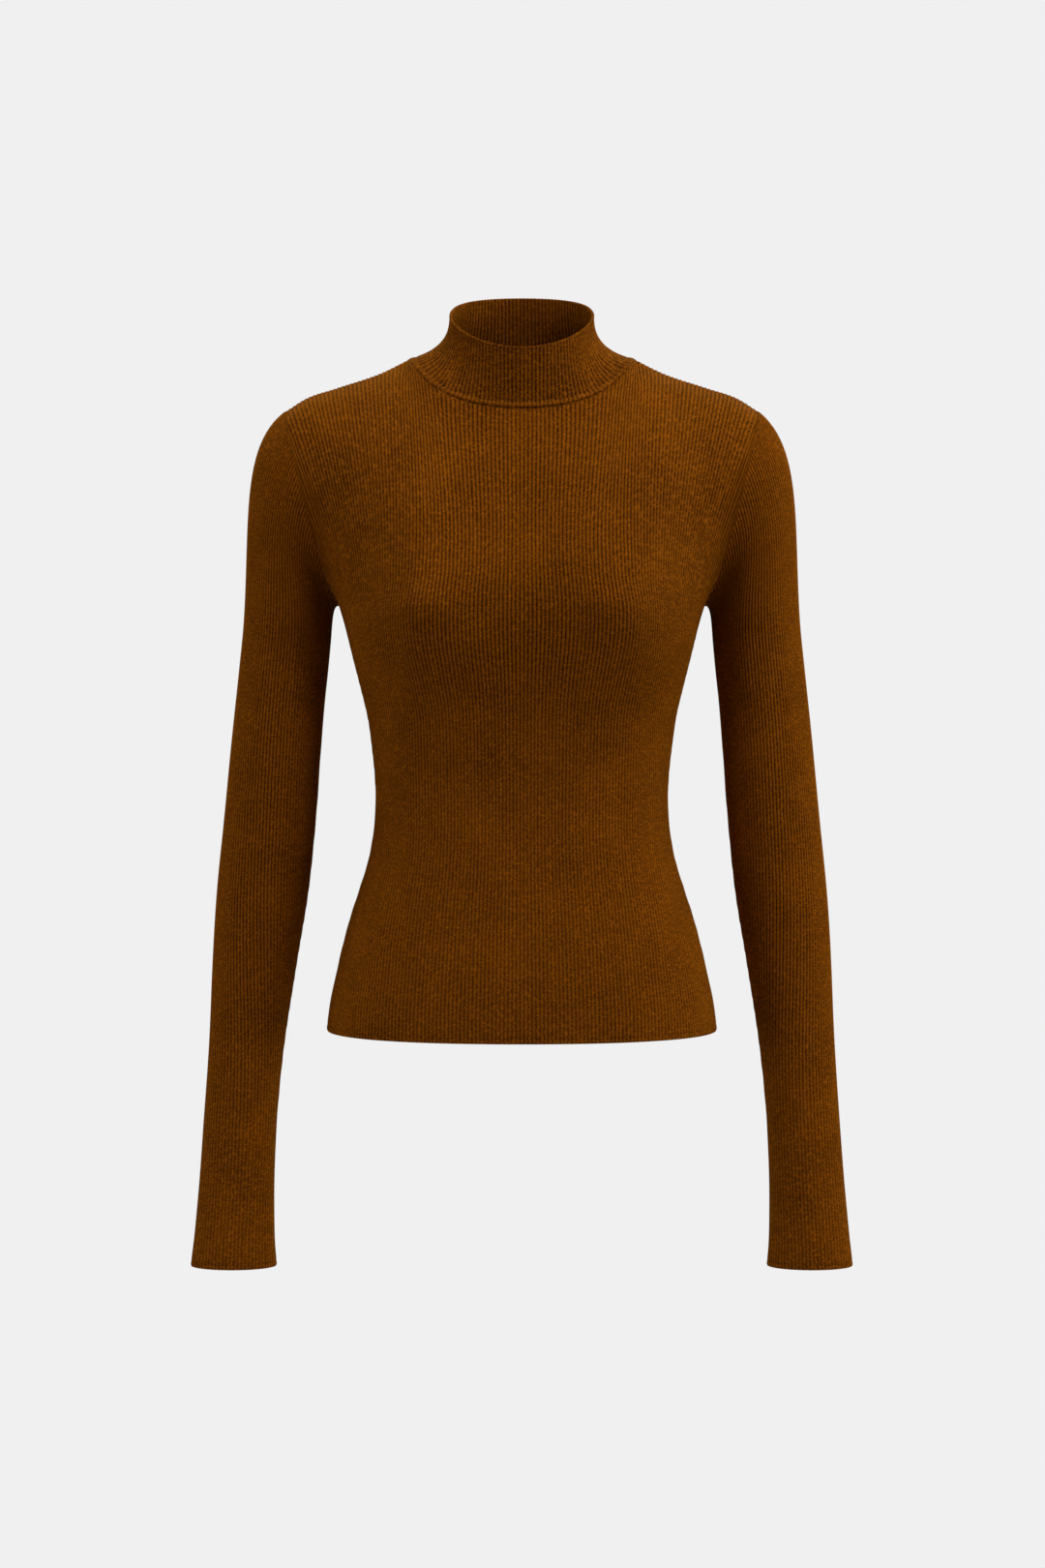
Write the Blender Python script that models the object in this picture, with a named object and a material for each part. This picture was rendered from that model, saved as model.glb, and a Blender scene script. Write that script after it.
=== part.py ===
"""Mock neck knit top, filled out as it is worn: front, back, two set-in sleeves and a short stand collar.

Each piece is a thin knitted wall. Its outer points follow the outline and the ribs, and its inside is
plain. Sizes below are in millimetres. The front faces -Y and the wearer's left is at +X. The origin is at
the middle of the neck, level with the tops of the shoulders.
"""

import math

import bmesh
import bpy
import numpy as np

MM = 0.001

# The cloth. The real ribs are finer, so each raised rib here stands for about four of them.
WALL = 2.0
RIB_HEIGHT = 0.7
SEAM_GAP = 0.3
ARMHOLE_EASE = 0.55
POINTS_PER_RIB = 2
INNER_STEP = 2
SLEEVE_RIBS = 24

# Columns of points that half a panel sends to each stretch of its top edge, and the share of its width
# they cover.
NECK_COLUMNS = 16
SHOULDER_COLUMNS = 12
ARMHOLE_COLUMNS = 12
NECK_SHARE = 0.4
SHOULDER_SHARE = 0.8

# Rows of points up each piece.
BODY_ROWS = 7
CHEST_ROWS = 6
CAP_ROWS = 5
ARM_ROWS = 8
COLLAR_ROWS = 4
SOFTENING = 10

# Share of half a panel from which the cloth runs straight on to the armhole, in front (-1) and behind (1),
# the share before it over which that begins, the heights over which it comes in and fades out, and how
# far short of the armhole it stays.
FILL_FROM = {-1: 0.74, 1: 0.6}
FILL_BEFORE = 0.12
FILL_HEIGHTS = (-179.0, -166.0, -66.0, -46.0)
FILL_SHORT = 1.0

# Body sections: height, half width, depth in front and behind at the centre, extra fullness at the bust.
HEM = -484.0
HEM_DIP = 1.5
BODY = np.array((
    # height, half_width, front, back, bust
    (-484, 141.4, 98.0, 90.0, 0),
    (-460, 137.9, 99.0, 87.0, 0),
    (-435, 132.3, 98.5, 82.0, 0),
    (-410, 126.2, 96.5, 76.0, 0),
    (-385, 118.2, 93.0, 70.0, 0),
    (-360, 110.6, 89.0, 65.0, 0),
    (-320, 105.7, 84.0, 61.5, 0),
    (-280, 108.4, 84.5, 66.5, 0),
    (-255, 112.0, 88.5, 72.5, 1),
    (-232, 117.8, 94.5, 78.5, 7),
    (-214, 122.3, 101.0, 83.0, 17),
    (-198, 126.1, 106.0, 86.5, 25.5),
    (-182, 129.9, 108.7, 89.5, 29.5),
    (-166, 132.6, 107.7, 91.8, 27.5),
    (-145, 134.3, 103.0, 93.0, 20),
    (-110, 136.0, 91.0, 92.0, 8),
))
BODY_SQUARENESS = 0.86
BUST_OUT = 74.0
BUST_SPREAD = 35.0
BUST_EDGE = 3.0

# Where the body sections give way to the lines that run up over the chest and the shoulder blades.
SIDE_JOIN = -200.0
FRONT_JOIN = -150.0
BACK_JOIN = -112.0

# Neck seam: how far each point stands back and up, by how far ahead it lies, from 1 in front to -1 behind.
NECK_HALF_WIDTH = 82.0
NECK = np.array((
    # ahead, back, height
    (1.00, -62.0, -38.5),
    (0.90, -57.0, -34.2),
    (0.64, -42.0, -21.7),
    (0.34, -23.0, -7.0),
    (0.00, 0.0, -0.5),
    (-0.34, 19.0, 1.0),
    (-0.77, 40.0, 2.5),
    (-1.00, 51.0, 3.0),
))
NECK_FIRST = 1.06
COLLAR_FLARE = 85.0
COLLAR_LEAN = 4.0
COLLAR_STAND = 40.0

# Top edge of the collar.
RIM_HALF_WIDTH = 52.0
RIM_MIDDLE = -6.0
RIM_DEPTH = 56.0
RIM_HEIGHT = 31.5
RIM_TILT = 21.0
RIM_SADDLE = 5.6
RIM_ARRIVING = (-1.0, 36.0)

# Shoulder seam, from the neck to the armhole, just behind the top of the shoulder.
SHOULDER = np.array((
    # along, out, back, height
    (0.00, 82.0, 0.0, -0.5),
    (0.20, 100.0, 5.0, -9.2),
    (0.57, 133.0, 9.0, -20.2),
    (0.84, 157.0, 9.5, -28.5),
    (1.00, 171.0, 8.0, -37.5),
))

# Armhole seam.
UNDERARM_OUT = 133.0
UNDERARM = -178.0
SHOULDER_TIP_OUT = 171.0
SHOULDER_TIP = -37.5
ARMHOLE_MIDDLE = 6.0
ARMHOLE_DEPTH = 46.0
ARMHOLE_BOW = 0.85

# Directions in which the ribs reach the top edge of a panel, by place along it: 0 is the middle of the
# neck, 1 the side of the neck, 2 the shoulder tip and 3 the underarm.
FRONT_LEAN = np.array((
    # place, out, back, up
    (0.0, 0.00, 0.34, 0.94),
    (0.6, 0.00, 0.56, 0.83),
    (0.85, 0.02, 0.82, 0.57),
    (1.0, 0.02, 0.95, 0.30),
    (1.5, 0.03, 0.99, 0.14),
    (2.0, 0.05, 0.99, 0.05),
    (2.5, 0.22, 0.12, 0.97),
    (3.0, 0.95, 0.00, 0.30),
))
BACK_LEAN = np.array((
    # place, out, back, up
    (0.0, 0.00, -0.50, 0.87),
    (0.5, 0.00, -0.74, 0.67),
    (0.85, 0.02, -0.95, 0.30),
    (1.0, 0.02, -0.99, 0.10),
    (1.5, 0.03, -0.99, 0.10),
    (2.0, 0.05, -0.99, 0.05),
    (2.5, 0.22, -0.12, 0.97),
    (3.0, 0.95, 0.00, 0.30),
))

# Sleeve sections, from below the underarm to the cuff.
SLEEVE = np.array((
    # height, centre_out, half_width, centre_back, half_depth
    (-205, 170.5, 32.0, 7.0, 44.0),
    (-265, 176.8, 32.4, 7.5, 42.5),
    (-335, 183.0, 33.3, 8.0, 40.5),
    (-384, 188.0, 33.2, 7.0, 38.0),
    (-440, 194.2, 30.4, 3.0, 33.5),
    (-496, 199.5, 27.3, -3.0, 29.0),
    (-552, 203.9, 26.4, -8.5, 26.0),
    (-608, 206.9, 27.7, -13.0, 24.5),
    (-640, 208.0, 29.6, -15.5, 24.5),
    (-654, 208.3, 31.2, -16.5, 24.5),
))

# How far the sleeve follows its first direction from the armhole, and its last one into the arm, at the
# underarm and at the shoulder tip; how much it slopes; and how its cap rows close up towards the seam.
CAP_LEAVING = (12.0, 138.0)
CAP_ARRIVING = (30.0, 200.0)
CAP_SLOPE = 0.6
CAP_BACKWARD = 0.12
CAP_CLOSENESS = 1.5

CLOTH_COLOUR = (0.115, 0.038, 0.004, 1.0)
CLOTH_ROUGHNESS = 0.9


def along(table, at):
    """Every column of a table after its first, read smoothly at the values `at` of the first."""
    key, values = table[:, 0], table[:, 1:]
    if key[0] > key[-1]:
        key, values = key[::-1], values[::-1]
    slope = np.gradient(values, key, axis=0)
    at = np.clip(np.asarray(at, float), key[0], key[-1])
    row = np.clip(np.searchsorted(key, at, side="right") - 1, 0, len(key) - 2)
    step = (key[row + 1] - key[row])[..., None]
    t = ((at - key[row]) / (key[row + 1] - key[row]))[..., None]
    return bridge(values[row], slope[row] * step, values[row + 1], slope[row + 1] * step, t)


def bridge(start, leaving, end, arriving, t):
    """Cubic curve between two points with the given directions at its ends."""
    t2, t3 = t * t, t * t * t
    from_start = (2 * t3 - 3 * t2 + 1) * start + (t3 - 2 * t2 + t) * leaving
    return from_start + (3 * t2 - 2 * t3) * end + (t3 - t2) * arriving


def unit(vectors):
    return vectors / np.linalg.norm(vectors, axis=-1, keepdims=True)


def points(x, y, z):
    return np.stack(np.broadcast_arrays(x, y, z), axis=-1).astype(float)


def rounded(wave):
    """A sine or cosine made fuller, which squares a section a little."""
    return np.sign(wave) * np.abs(wave) ** BODY_SQUARENESS


def evenly(curve, first, last, shares):
    """Values between first and last that stand at equal steps of length along the curve."""
    tried = np.linspace(first, last, 97)
    steps = np.linalg.norm(np.diff(curve(tried), axis=0), axis=1)
    length = np.concatenate(([0.0], np.cumsum(steps)))
    return np.interp(np.asarray(shares) * length[-1], length, tried)


def body_section(height, turn):
    """Points on the body at one height: turn 0 is the front, a quarter the left side, a half the back."""
    half_width, front, back, bust = np.moveaxis(along(BODY, height), -1, 0)
    x = half_width * rounded(np.sin(turn))
    depth = np.where(np.cos(turn) > 0, front, back)
    y = -depth * rounded(np.cos(turn))
    fullness = bust * np.exp(-(((np.abs(x) - BUST_OUT) / BUST_SPREAD) ** 2))
    return points(x, y - fullness * np.clip(np.cos(turn) * BUST_EDGE, 0, 1), height)


def neck_seam(turn):
    """Points on the neck seam: turn 0 at the front, a half turn at the back."""
    back, height = np.moveaxis(along(NECK, np.cos(turn)), -1, 0)
    return points(NECK_HALF_WIDTH * np.sin(turn), back, height)


def neck_turn(share):
    """Turns along a quarter of the neck seam: ribs near its middle keep their spacing and stay upright."""
    return NECK_FIRST * share + (math.pi / 2 - NECK_FIRST) * share**3


def collar_leaving(turn):
    """How the collar leaves the neck seam: upright at the front and back, and flatter at the sides."""
    flat = np.sin(turn) ** 2
    inward = COLLAR_LEAN + (COLLAR_FLARE - COLLAR_LEAN) * flat
    return points(-inward * np.sin(turn), inward * np.cos(turn), COLLAR_STAND * (1 - flat / 2))


def collar_rim(turn):
    ahead = np.cos(turn)
    return points(
        RIM_HALF_WIDTH * np.sin(turn),
        RIM_MIDDLE - RIM_DEPTH * ahead,
        RIM_HEIGHT - RIM_TILT * ahead - RIM_SADDLE * ahead**2,
    )


def shoulder_seam(place):
    return along(SHOULDER, place)


def armhole_seam(turn):
    """Points on the left armhole: turn 0 under the arm, a quarter in front, a half at the shoulder tip."""
    rise = (1 - np.cos(turn)) / 2
    return points(
        UNDERARM_OUT + (SHOULDER_TIP_OUT - UNDERARM_OUT) * rise**ARMHOLE_BOW,
        ARMHOLE_MIDDLE + 2 * rise - ARMHOLE_DEPTH * np.sin(turn),
        UNDERARM + (SHOULDER_TIP - UNDERARM) * rise,
    )


def sleeve_leaving(turn):
    """Direction in which the sleeve leaves the armhole: level under the arm, sloping at the shoulder."""
    down = CAP_SLOPE * np.abs(np.sin(turn / 2))
    back = CAP_BACKWARD * np.sin(turn)
    return points(np.sqrt(1 - down**2 - back**2), back, -down)


def seam_normal(curve, turn, leaving):
    """The outward direction at a seam, shared by the two pieces that meet there."""
    nudge = 1e-3
    run = curve(turn + nudge) - curve(turn - nudge)
    return unit(np.cross(run, leaving))


def grid_normals(grid, closed):
    """Outward directions of a grid whose rows go up the piece and whose columns go round it."""
    up = np.gradient(grid, axis=0)
    if closed:
        across = np.roll(grid, -1, axis=1) - np.roll(grid, 1, axis=1)
    else:
        across = np.gradient(grid, axis=1)
    return unit(np.cross(across, up))


def panel_top(share, facing):
    """Points, seam normals and rib directions on the top of half a panel: -1 faces front, 1 faces back."""
    middle = 0.0 if facing < 0 else math.pi
    neck = share <= NECK_SHARE
    shoulder = (share > NECK_SHARE) & (share < SHOULDER_SHARE)
    sleeve = share >= SHOULDER_SHARE
    top, normal = np.zeros((len(share), 3)), np.zeros((len(share), 3))
    place = np.zeros(len(share))

    place[neck] = share[neck] / NECK_SHARE
    turn = middle - facing * neck_turn(place[neck])
    leaving = unit(collar_leaving(turn))
    top[neck] = neck_seam(turn) - leaving * SEAM_GAP / 2
    normal[neck] = seam_normal(neck_seam, turn, leaving)

    place[shoulder] = 1 + (share[shoulder] - NECK_SHARE) / (SHOULDER_SHARE - NECK_SHARE)
    step = place[shoulder] - 1
    top[shoulder] = shoulder_seam(step)
    run = shoulder_seam(step + 0.01) - shoulder_seam(step - 0.01)
    normal[shoulder] = unit(np.cross(run, (0.0, 1.0, 0.0)))

    place[sleeve] = 2 + (share[sleeve] - SHOULDER_SHARE) / (1 - SHOULDER_SHARE)
    front_side = math.pi if facing < 0 else -math.pi
    turn = evenly(armhole_seam, front_side, 0.0, place[sleeve] - 2)
    leaving = sleeve_leaving(turn)
    top[sleeve] = armhole_seam(turn) - leaving * SEAM_GAP / 2
    normal[sleeve] = -seam_normal(armhole_seam, turn, leaving)

    return top, normal, unit(along(FRONT_LEAN if facing < 0 else BACK_LEAN, place))


def soften(rows, kept):
    """Eases each row of half a panel across, so that no crease runs down from a corner of its top edge."""
    firm = rows.copy()
    for _ in range(SOFTENING):
        mirrored = rows[:, 1:2] * (-1.0, 1.0, 1.0)
        eased = (np.concatenate((mirrored, rows[:, :-2]), axis=1) + rows[:, 1:]) / 2
        rows[:, :-1] = (rows[:, :-1] + eased) / 2
    rows += kept[:, None] * (firm - rows)


def fill_to_armhole(grid, share, facing):
    """Lets the cloth run on from the chest to the armhole at each height, with no groove beside the seam."""
    column = np.searchsorted(share, FILL_FROM[facing])
    beside = grid[BODY_ROWS:-1, column + 1:]
    out, level = beside[..., 0], beside[..., 2]
    edge = armhole_seam(-facing * np.linspace(0.0, math.pi, 200))
    (x0, y0), (x1, y1), (x2, y2) = (
        (np.interp(level, line[:, 2], line[:, 0]), np.interp(level, line[:, 2], line[:, 1]))
        for line in (grid[:, column - 1], grid[:, column], edge)
    )
    slope = (y1 - y0) / (x1 - x0)
    bend = (y2 - y1 - slope * (x2 - x1)) / (x2 - x1) ** 2
    run = np.clip(out, x1, x2) - x1
    part = np.interp(level, FILL_HEIGHTS, (0.0, 1.0, 1.0, 0.0))
    part = part**2 * (3 - 2 * part)
    out -= part * np.maximum(out - x2 + FILL_SHORT, 0.0)
    beside[..., 1] += part * (y1 + slope * run + bend * run**2 - beside[..., 1])


def half_panel(facing):
    """Grid of points from the centre to the left side of one panel, and their outward directions."""
    columns = np.cumsum((0, NECK_COLUMNS, SHOULDER_COLUMNS, ARMHOLE_COLUMNS))
    ends = (0.0, NECK_SHARE, SHOULDER_SHARE, 1.0)
    share = np.interp(np.arange(columns[-1] + 1), columns, ends)
    middle = 0.0 if facing < 0 else math.pi
    centre_join = FRONT_JOIN if facing < 0 else BACK_JOIN
    join = centre_join + (SIDE_JOIN - centre_join) * share**2

    def on_body(height, shares):
        turns = [
            evenly(lambda turn: body_section(level, turn), middle, math.pi / 2, one)
            for level, one in zip(height, shares)
        ]
        return body_section(height, np.array(turns))

    steps = np.linspace(0.0, 1.0, BODY_ROWS + 1)
    hem = HEM - HEM_DIP * (1 - share**2)
    rows = [on_body(hem + (join - hem) * step, share) for step in steps]
    start = rows[-1]
    top, top_normal, lean = panel_top(share, facing)
    rise = unit(start - on_body(join - 1.0, share))
    reach = np.linalg.norm(top - start, axis=1, keepdims=True)
    for t in np.linspace(0.0, 1.0, CHEST_ROWS + 1)[1:]:
        rows.append(bridge(start, rise * reach, top, lean * reach, t))
    grid = np.array(rows)
    soften(grid[BODY_ROWS:-1], np.clip((share - FILL_FROM[facing]) / FILL_BEFORE + 1.0, 0.0, 1.0))
    fill_to_armhole(grid, share, facing)
    normal = grid_normals(grid, closed=False) * -facing
    normal[-1] = top_normal
    normal[:, -1, 1] = 0.0
    normal[:, 0, 0] = 0.0
    edge = np.zeros(grid.shape[:2], bool)
    edge[:, -1] = edge[-1] = True
    grid[edge, 1] += facing * SEAM_GAP / 2
    return grid, unit(normal)


def panel(facing):
    """The whole front or back: the half and its mirror image, side by side."""
    grid, normal = half_panel(facing)
    mirror = np.array((-1.0, 1.0, 1.0))
    whole = np.concatenate(((grid * mirror)[:, :0:-1], grid), axis=1)
    return whole, np.concatenate(((normal * mirror)[:, :0:-1], normal), axis=1)


def sleeve():
    """Grid of the left sleeve, from the armhole down to the cuff."""
    columns = SLEEVE_RIBS * POINTS_PER_RIB
    share = np.arange(columns) / columns
    turn = evenly(armhole_seam, 0.0, 2 * math.pi, share)
    leaving = sleeve_leaving(turn)
    start = armhole_seam(turn) + leaving * (SEAM_GAP / 2 + ARMHOLE_EASE)
    high = ((1 - np.cos(turn)) / 2)[:, None]

    def section(height):
        centre_out, half_width, centre_back, half_depth = along(SLEEVE, height)

        def ring(angle):
            out = centre_out - half_width * np.cos(angle)
            return points(out, centre_back - half_depth * np.sin(angle), height)

        return ring(evenly(ring, 0.0, 2 * math.pi, share))

    heights = np.linspace(SLEEVE[0, 0], SLEEVE[-1, 0], ARM_ROWS + 1)
    below = section(heights[0])
    down = unit(section(heights[0] - 1.0) - below)
    leaving = leaving * (CAP_LEAVING[0] + (CAP_LEAVING[1] - CAP_LEAVING[0]) * high)
    down = down * (CAP_ARRIVING[0] + (CAP_ARRIVING[1] - CAP_ARRIVING[0]) * high)
    steps = np.linspace(0.0, 1.0, CAP_ROWS + 1) ** CAP_CLOSENESS
    rows = [bridge(start, leaving, below, down, t) for t in steps]
    rows += [section(height) for height in heights[1:]]
    grid = np.array(rows)
    normal = -grid_normals(grid, closed=True)
    normal[0] = -seam_normal(armhole_seam, turn, leaving)
    return grid, normal


def collar():
    """Grid of the collar, from the neck seam up to its rim."""
    columns = 4 * NECK_COLUMNS
    share = np.arange(columns) / columns
    quarter = np.linspace(0.0, 1.0, NECK_COLUMNS + 1)
    front = neck_turn(quarter)
    half = np.concatenate((front, math.pi - front[-2::-1]))
    turn = np.concatenate((half[:-1], 2 * math.pi - half[:0:-1]))
    leaving = collar_leaving(turn)
    start = neck_seam(np.where(turn > math.pi, 2 * math.pi - turn, turn))
    start[:, 0] *= np.where(turn > math.pi, -1, 1)
    start += unit(leaving) * SEAM_GAP / 2
    rim = collar_rim(evenly(collar_rim, 0.0, 2 * math.pi, share))
    back, up = RIM_ARRIVING
    arriving = points(0.0, back * np.cos(turn), up)
    steps = np.linspace(0.0, 1.0, COLLAR_ROWS + 1)
    grid = np.array([bridge(start, leaving, rim, arriving, t) for t in steps])
    normal = grid_normals(grid, closed=True)
    half_normal = seam_normal(neck_seam, half, collar_leaving(half))
    normal[0] = np.concatenate((half_normal[:-1], (half_normal * (-1, 1, 1))[:0:-1]))
    return grid, normal


def knitted_wall(name, grid, normal, closed, collection, material):
    """One closed wall: a ribbed outside, a plain inside on fewer columns, and faces round the edges."""
    rows, columns = grid.shape[:2]
    valley = np.arange(columns) % POINTS_PER_RIB == 1
    outside = grid - normal * (RIB_HEIGHT * valley)[None, :, None]
    inside = (grid - normal * WALL)[:, ::INNER_STEP]
    mesh = bmesh.new()
    outer = [[mesh.verts.new(p * MM) for p in row] for row in outside]
    inner = [[mesh.verts.new(p * MM) for p in row] for row in inside]
    spans = len(inner[0]) if closed else len(inner[0]) - 1

    def strip(level, first, last):
        return [outer[level][k % columns] for k in range(first, last + 1)]

    for r in range(rows - 1):
        for k in range(columns if closed else columns - 1):
            n = (k + 1) % columns
            mesh.faces.new((outer[r][k], outer[r][n], outer[r + 1][n], outer[r + 1][k]))
        for k in range(spans):
            n = (k + 1) % len(inner[0])
            mesh.faces.new((inner[r][n], inner[r][k], inner[r + 1][k], inner[r + 1][n]))
        if not closed:
            for k, turned in ((0, 1), (-1, -1)):
                ends = (outer[r][k], outer[r + 1][k], inner[r + 1][k], inner[r][k])
                mesh.faces.new(ends[::turned])
    for level, turned in ((0, 1), (rows - 1, -1)):
        for k in range(spans):
            n = (k + 1) % len(inner[0])
            edge = strip(level, k * INNER_STEP, (k + 1) * INNER_STEP)
            loop = [inner[level][k], inner[level][n]] + edge[::-1]
            mesh.faces.new(loop[::turned])
    bmesh.ops.recalc_face_normals(mesh, faces=mesh.faces)
    if mesh.calc_volume(signed=True) < 0:
        bmesh.ops.reverse_faces(mesh, faces=mesh.faces)
    data = bpy.data.meshes.new(name)
    mesh.to_mesh(data)
    mesh.free()
    data.materials.append(material)
    data.shade_smooth()
    data.set_sharp_from_angle(angle=math.radians(60))
    piece = bpy.data.objects.new(name, data)
    collection.objects.link(piece)
    return piece


def cloth(name):
    material = bpy.data.materials.new(name)
    material.use_nodes = True
    shader = material.node_tree.nodes["Principled BSDF"]
    shader.inputs["Base Color"].default_value = CLOTH_COLOUR
    shader.inputs["Roughness"].default_value = CLOTH_ROUGHNESS
    shader.inputs["Metallic"].default_value = 0.0
    return material


def build():
    for old in list(bpy.data.objects):
        bpy.data.objects.remove(old, do_unlink=True)
    top = bpy.data.collections.new("mock_neck_knit_top")
    bpy.context.scene.collection.children.link(top)

    for name, facing in (("front_panel", -1), ("back_panel", 1)):
        grid, normal = panel(facing)
        knitted_wall(name, grid, normal, False, top, cloth(name + "_knit"))
    grid, normal = sleeve()
    mirror = np.array((-1.0, 1.0, 1.0))
    for name, side in (("sleeve_left", 1.0), ("sleeve_right", mirror)):
        knitted_wall(name, grid * side, normal * side, True, top, cloth(name + "_knit"))
    grid, normal = collar()
    knitted_wall("mock_neck", grid, normal, True, top, cloth("mock_neck_knit"))


build()
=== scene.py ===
import math

import bmesh
import bpy
import numpy as np
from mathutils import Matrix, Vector


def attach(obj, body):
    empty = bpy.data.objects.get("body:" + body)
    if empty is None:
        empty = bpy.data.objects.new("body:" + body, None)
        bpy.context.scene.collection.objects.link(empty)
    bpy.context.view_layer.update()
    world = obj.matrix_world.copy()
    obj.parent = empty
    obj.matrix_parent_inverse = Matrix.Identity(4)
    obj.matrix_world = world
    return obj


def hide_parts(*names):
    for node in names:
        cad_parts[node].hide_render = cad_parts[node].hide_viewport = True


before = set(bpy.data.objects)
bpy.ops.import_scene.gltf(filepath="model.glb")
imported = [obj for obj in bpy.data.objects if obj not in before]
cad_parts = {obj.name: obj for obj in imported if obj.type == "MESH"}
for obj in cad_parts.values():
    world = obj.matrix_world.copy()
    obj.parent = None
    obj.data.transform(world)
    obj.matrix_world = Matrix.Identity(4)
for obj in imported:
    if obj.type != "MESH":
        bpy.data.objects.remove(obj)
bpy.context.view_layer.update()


# Camera. The top is seen square from the front, from a little above its underarms, through a long lens,
# so that the hem and the cuffs curve down only slightly.
camera_place = Vector((0.0005, -3.0, -0.180))
camera_aim = Vector((0.0005, 0.0, -0.3066))
camera_data = bpy.data.cameras.new("front_camera")
camera_data.sensor_fit = "AUTO"
camera_data.sensor_width = 36.0
camera_data.lens = 95.3
camera = bpy.data.objects.new("front_camera", camera_data)
camera.location = camera_place
camera.rotation_euler = (camera_aim - camera_place).to_track_quat("-Z", "Y").to_euler()
bpy.context.scene.collection.objects.link(camera)
bpy.context.scene.camera = camera


# Studio. A pale floor fades out into a pale surround of the same tone. Large soft lights stand above and
# on the right of the picture, more weakly on its left, and weakest behind.
FLOOR_HEIGHT = -1.15
FLOOR_RADIUS = 14.0
PALE = 0.871

floor_mesh = bmesh.new()
bmesh.ops.create_circle(floor_mesh, cap_ends=True, segments=96, radius=FLOOR_RADIUS)
floor_data = bpy.data.meshes.new("studio_floor")
floor_mesh.to_mesh(floor_data)
floor_mesh.free()
floor = bpy.data.objects.new("studio_floor", floor_data)
floor.location = (0.0, 0.0, FLOOR_HEIGHT)
bpy.context.scene.collection.objects.link(floor)

floor_paint = bpy.data.materials.new("studio_floor_paint")
floor_paint.use_nodes = True
nodes, links = floor_paint.node_tree.nodes, floor_paint.node_tree.links
paint = nodes["Principled BSDF"]
paint.inputs["Base Color"].default_value = (0.80, 0.80, 0.80, 1.0)
paint.inputs["Roughness"].default_value = 0.9
surround = nodes.new("ShaderNodeBsdfTransparent")
spot = nodes.new("ShaderNodeTexCoord")
reach = nodes.new("ShaderNodeVectorMath")
reach.operation = "LENGTH"
fade = nodes.new("ShaderNodeMapRange")
fade.interpolation_type = "SMOOTHSTEP"
fade.inputs["From Min"].default_value = 0.3
fade.inputs["From Max"].default_value = 1.15
blend = nodes.new("ShaderNodeMixShader")
links.new(spot.outputs["Object"], reach.inputs[0])
links.new(reach.outputs["Value"], fade.inputs["Value"])
links.new(fade.outputs["Result"], blend.inputs["Fac"])
links.new(paint.outputs["BSDF"], blend.inputs[1])
links.new(surround.outputs["BSDF"], blend.inputs[2])
links.new(blend.outputs["Shader"], nodes["Material Output"].inputs["Surface"])
floor_data.materials.append(floor_paint)

studio = bpy.data.worlds.new("studio_air")
studio.use_nodes = True
nodes, links = studio.node_tree.nodes, studio.node_tree.links
seen = nodes["Background"]
seen.inputs["Color"].default_value = (PALE, PALE, PALE, 1.0)
seen.inputs["Strength"].default_value = 1.0
felt = nodes.new("ShaderNodeBackground")
felt.inputs["Color"].default_value = (1.0, 0.99, 0.975, 1.0)
felt.inputs["Strength"].default_value = 0.080
ray = nodes.new("ShaderNodeLightPath")
either = nodes.new("ShaderNodeMixShader")
links.new(ray.outputs["Is Camera Ray"], either.inputs["Fac"])
links.new(felt.outputs["Background"], either.inputs[1])
links.new(seen.outputs["Background"], either.inputs[2])
links.new(either.outputs["Shader"], nodes["World Output"].inputs["Surface"])
bpy.context.scene.world = studio
bpy.context.scene.view_settings.view_transform = "Standard"

SOFTBOX_ACROSS = 1.2
LIT_MIDDLE = Vector((0.0, 0.0, -0.25))
for name, place, power in (
    ("right_softbox", (2.60, -1.50, -0.25), 22.8),
    ("high_softbox", (1.06, -1.06, 2.35), 28.7),
    ("right_side_softbox", (2.46, 0.0, 1.47), 11.0),
    ("left_softbox", (-2.60, -1.50, -0.25), 16.0),
    ("left_side_softbox", (-2.46, 0.0, 1.47), 13.1),
    ("top_softbox", (0.0, -0.10, 2.75), 20.7),
    ("back_right_softbox", (1.30, 2.25, 1.25), 10.0),
    ("back_left_softbox", (-1.30, 2.25, 1.25), 6.0),
):
    lamp = bpy.data.lights.new(name, "AREA")
    lamp.shape = "DISK"
    lamp.size = SOFTBOX_ACROSS
    lamp.energy = power
    light = bpy.data.objects.new(name, lamp)
    light.location = place
    light.rotation_euler = (LIT_MIDDLE - light.location).to_track_quat("-Z", "Y").to_euler()
    bpy.context.scene.collection.objects.link(light)


# Front and back. Each is one panel of fine rib knit, shaped at the waist and cut to the neck, shoulder
# and armhole, with the ribs upright at the centre. Knitted in fine brown yarn, and worn stretched.
MM = 0.001
WALL = 1.9
RIB_DEPTH = 1.05
SEAM_GAP = 0.1
RIB_POINTS = ((0.3, 0.24), (0.5, 1.0), (0.7, 0.24), (1.0, 0.0))
BODY_RIBS = 75
COURSE = 1.25

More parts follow.
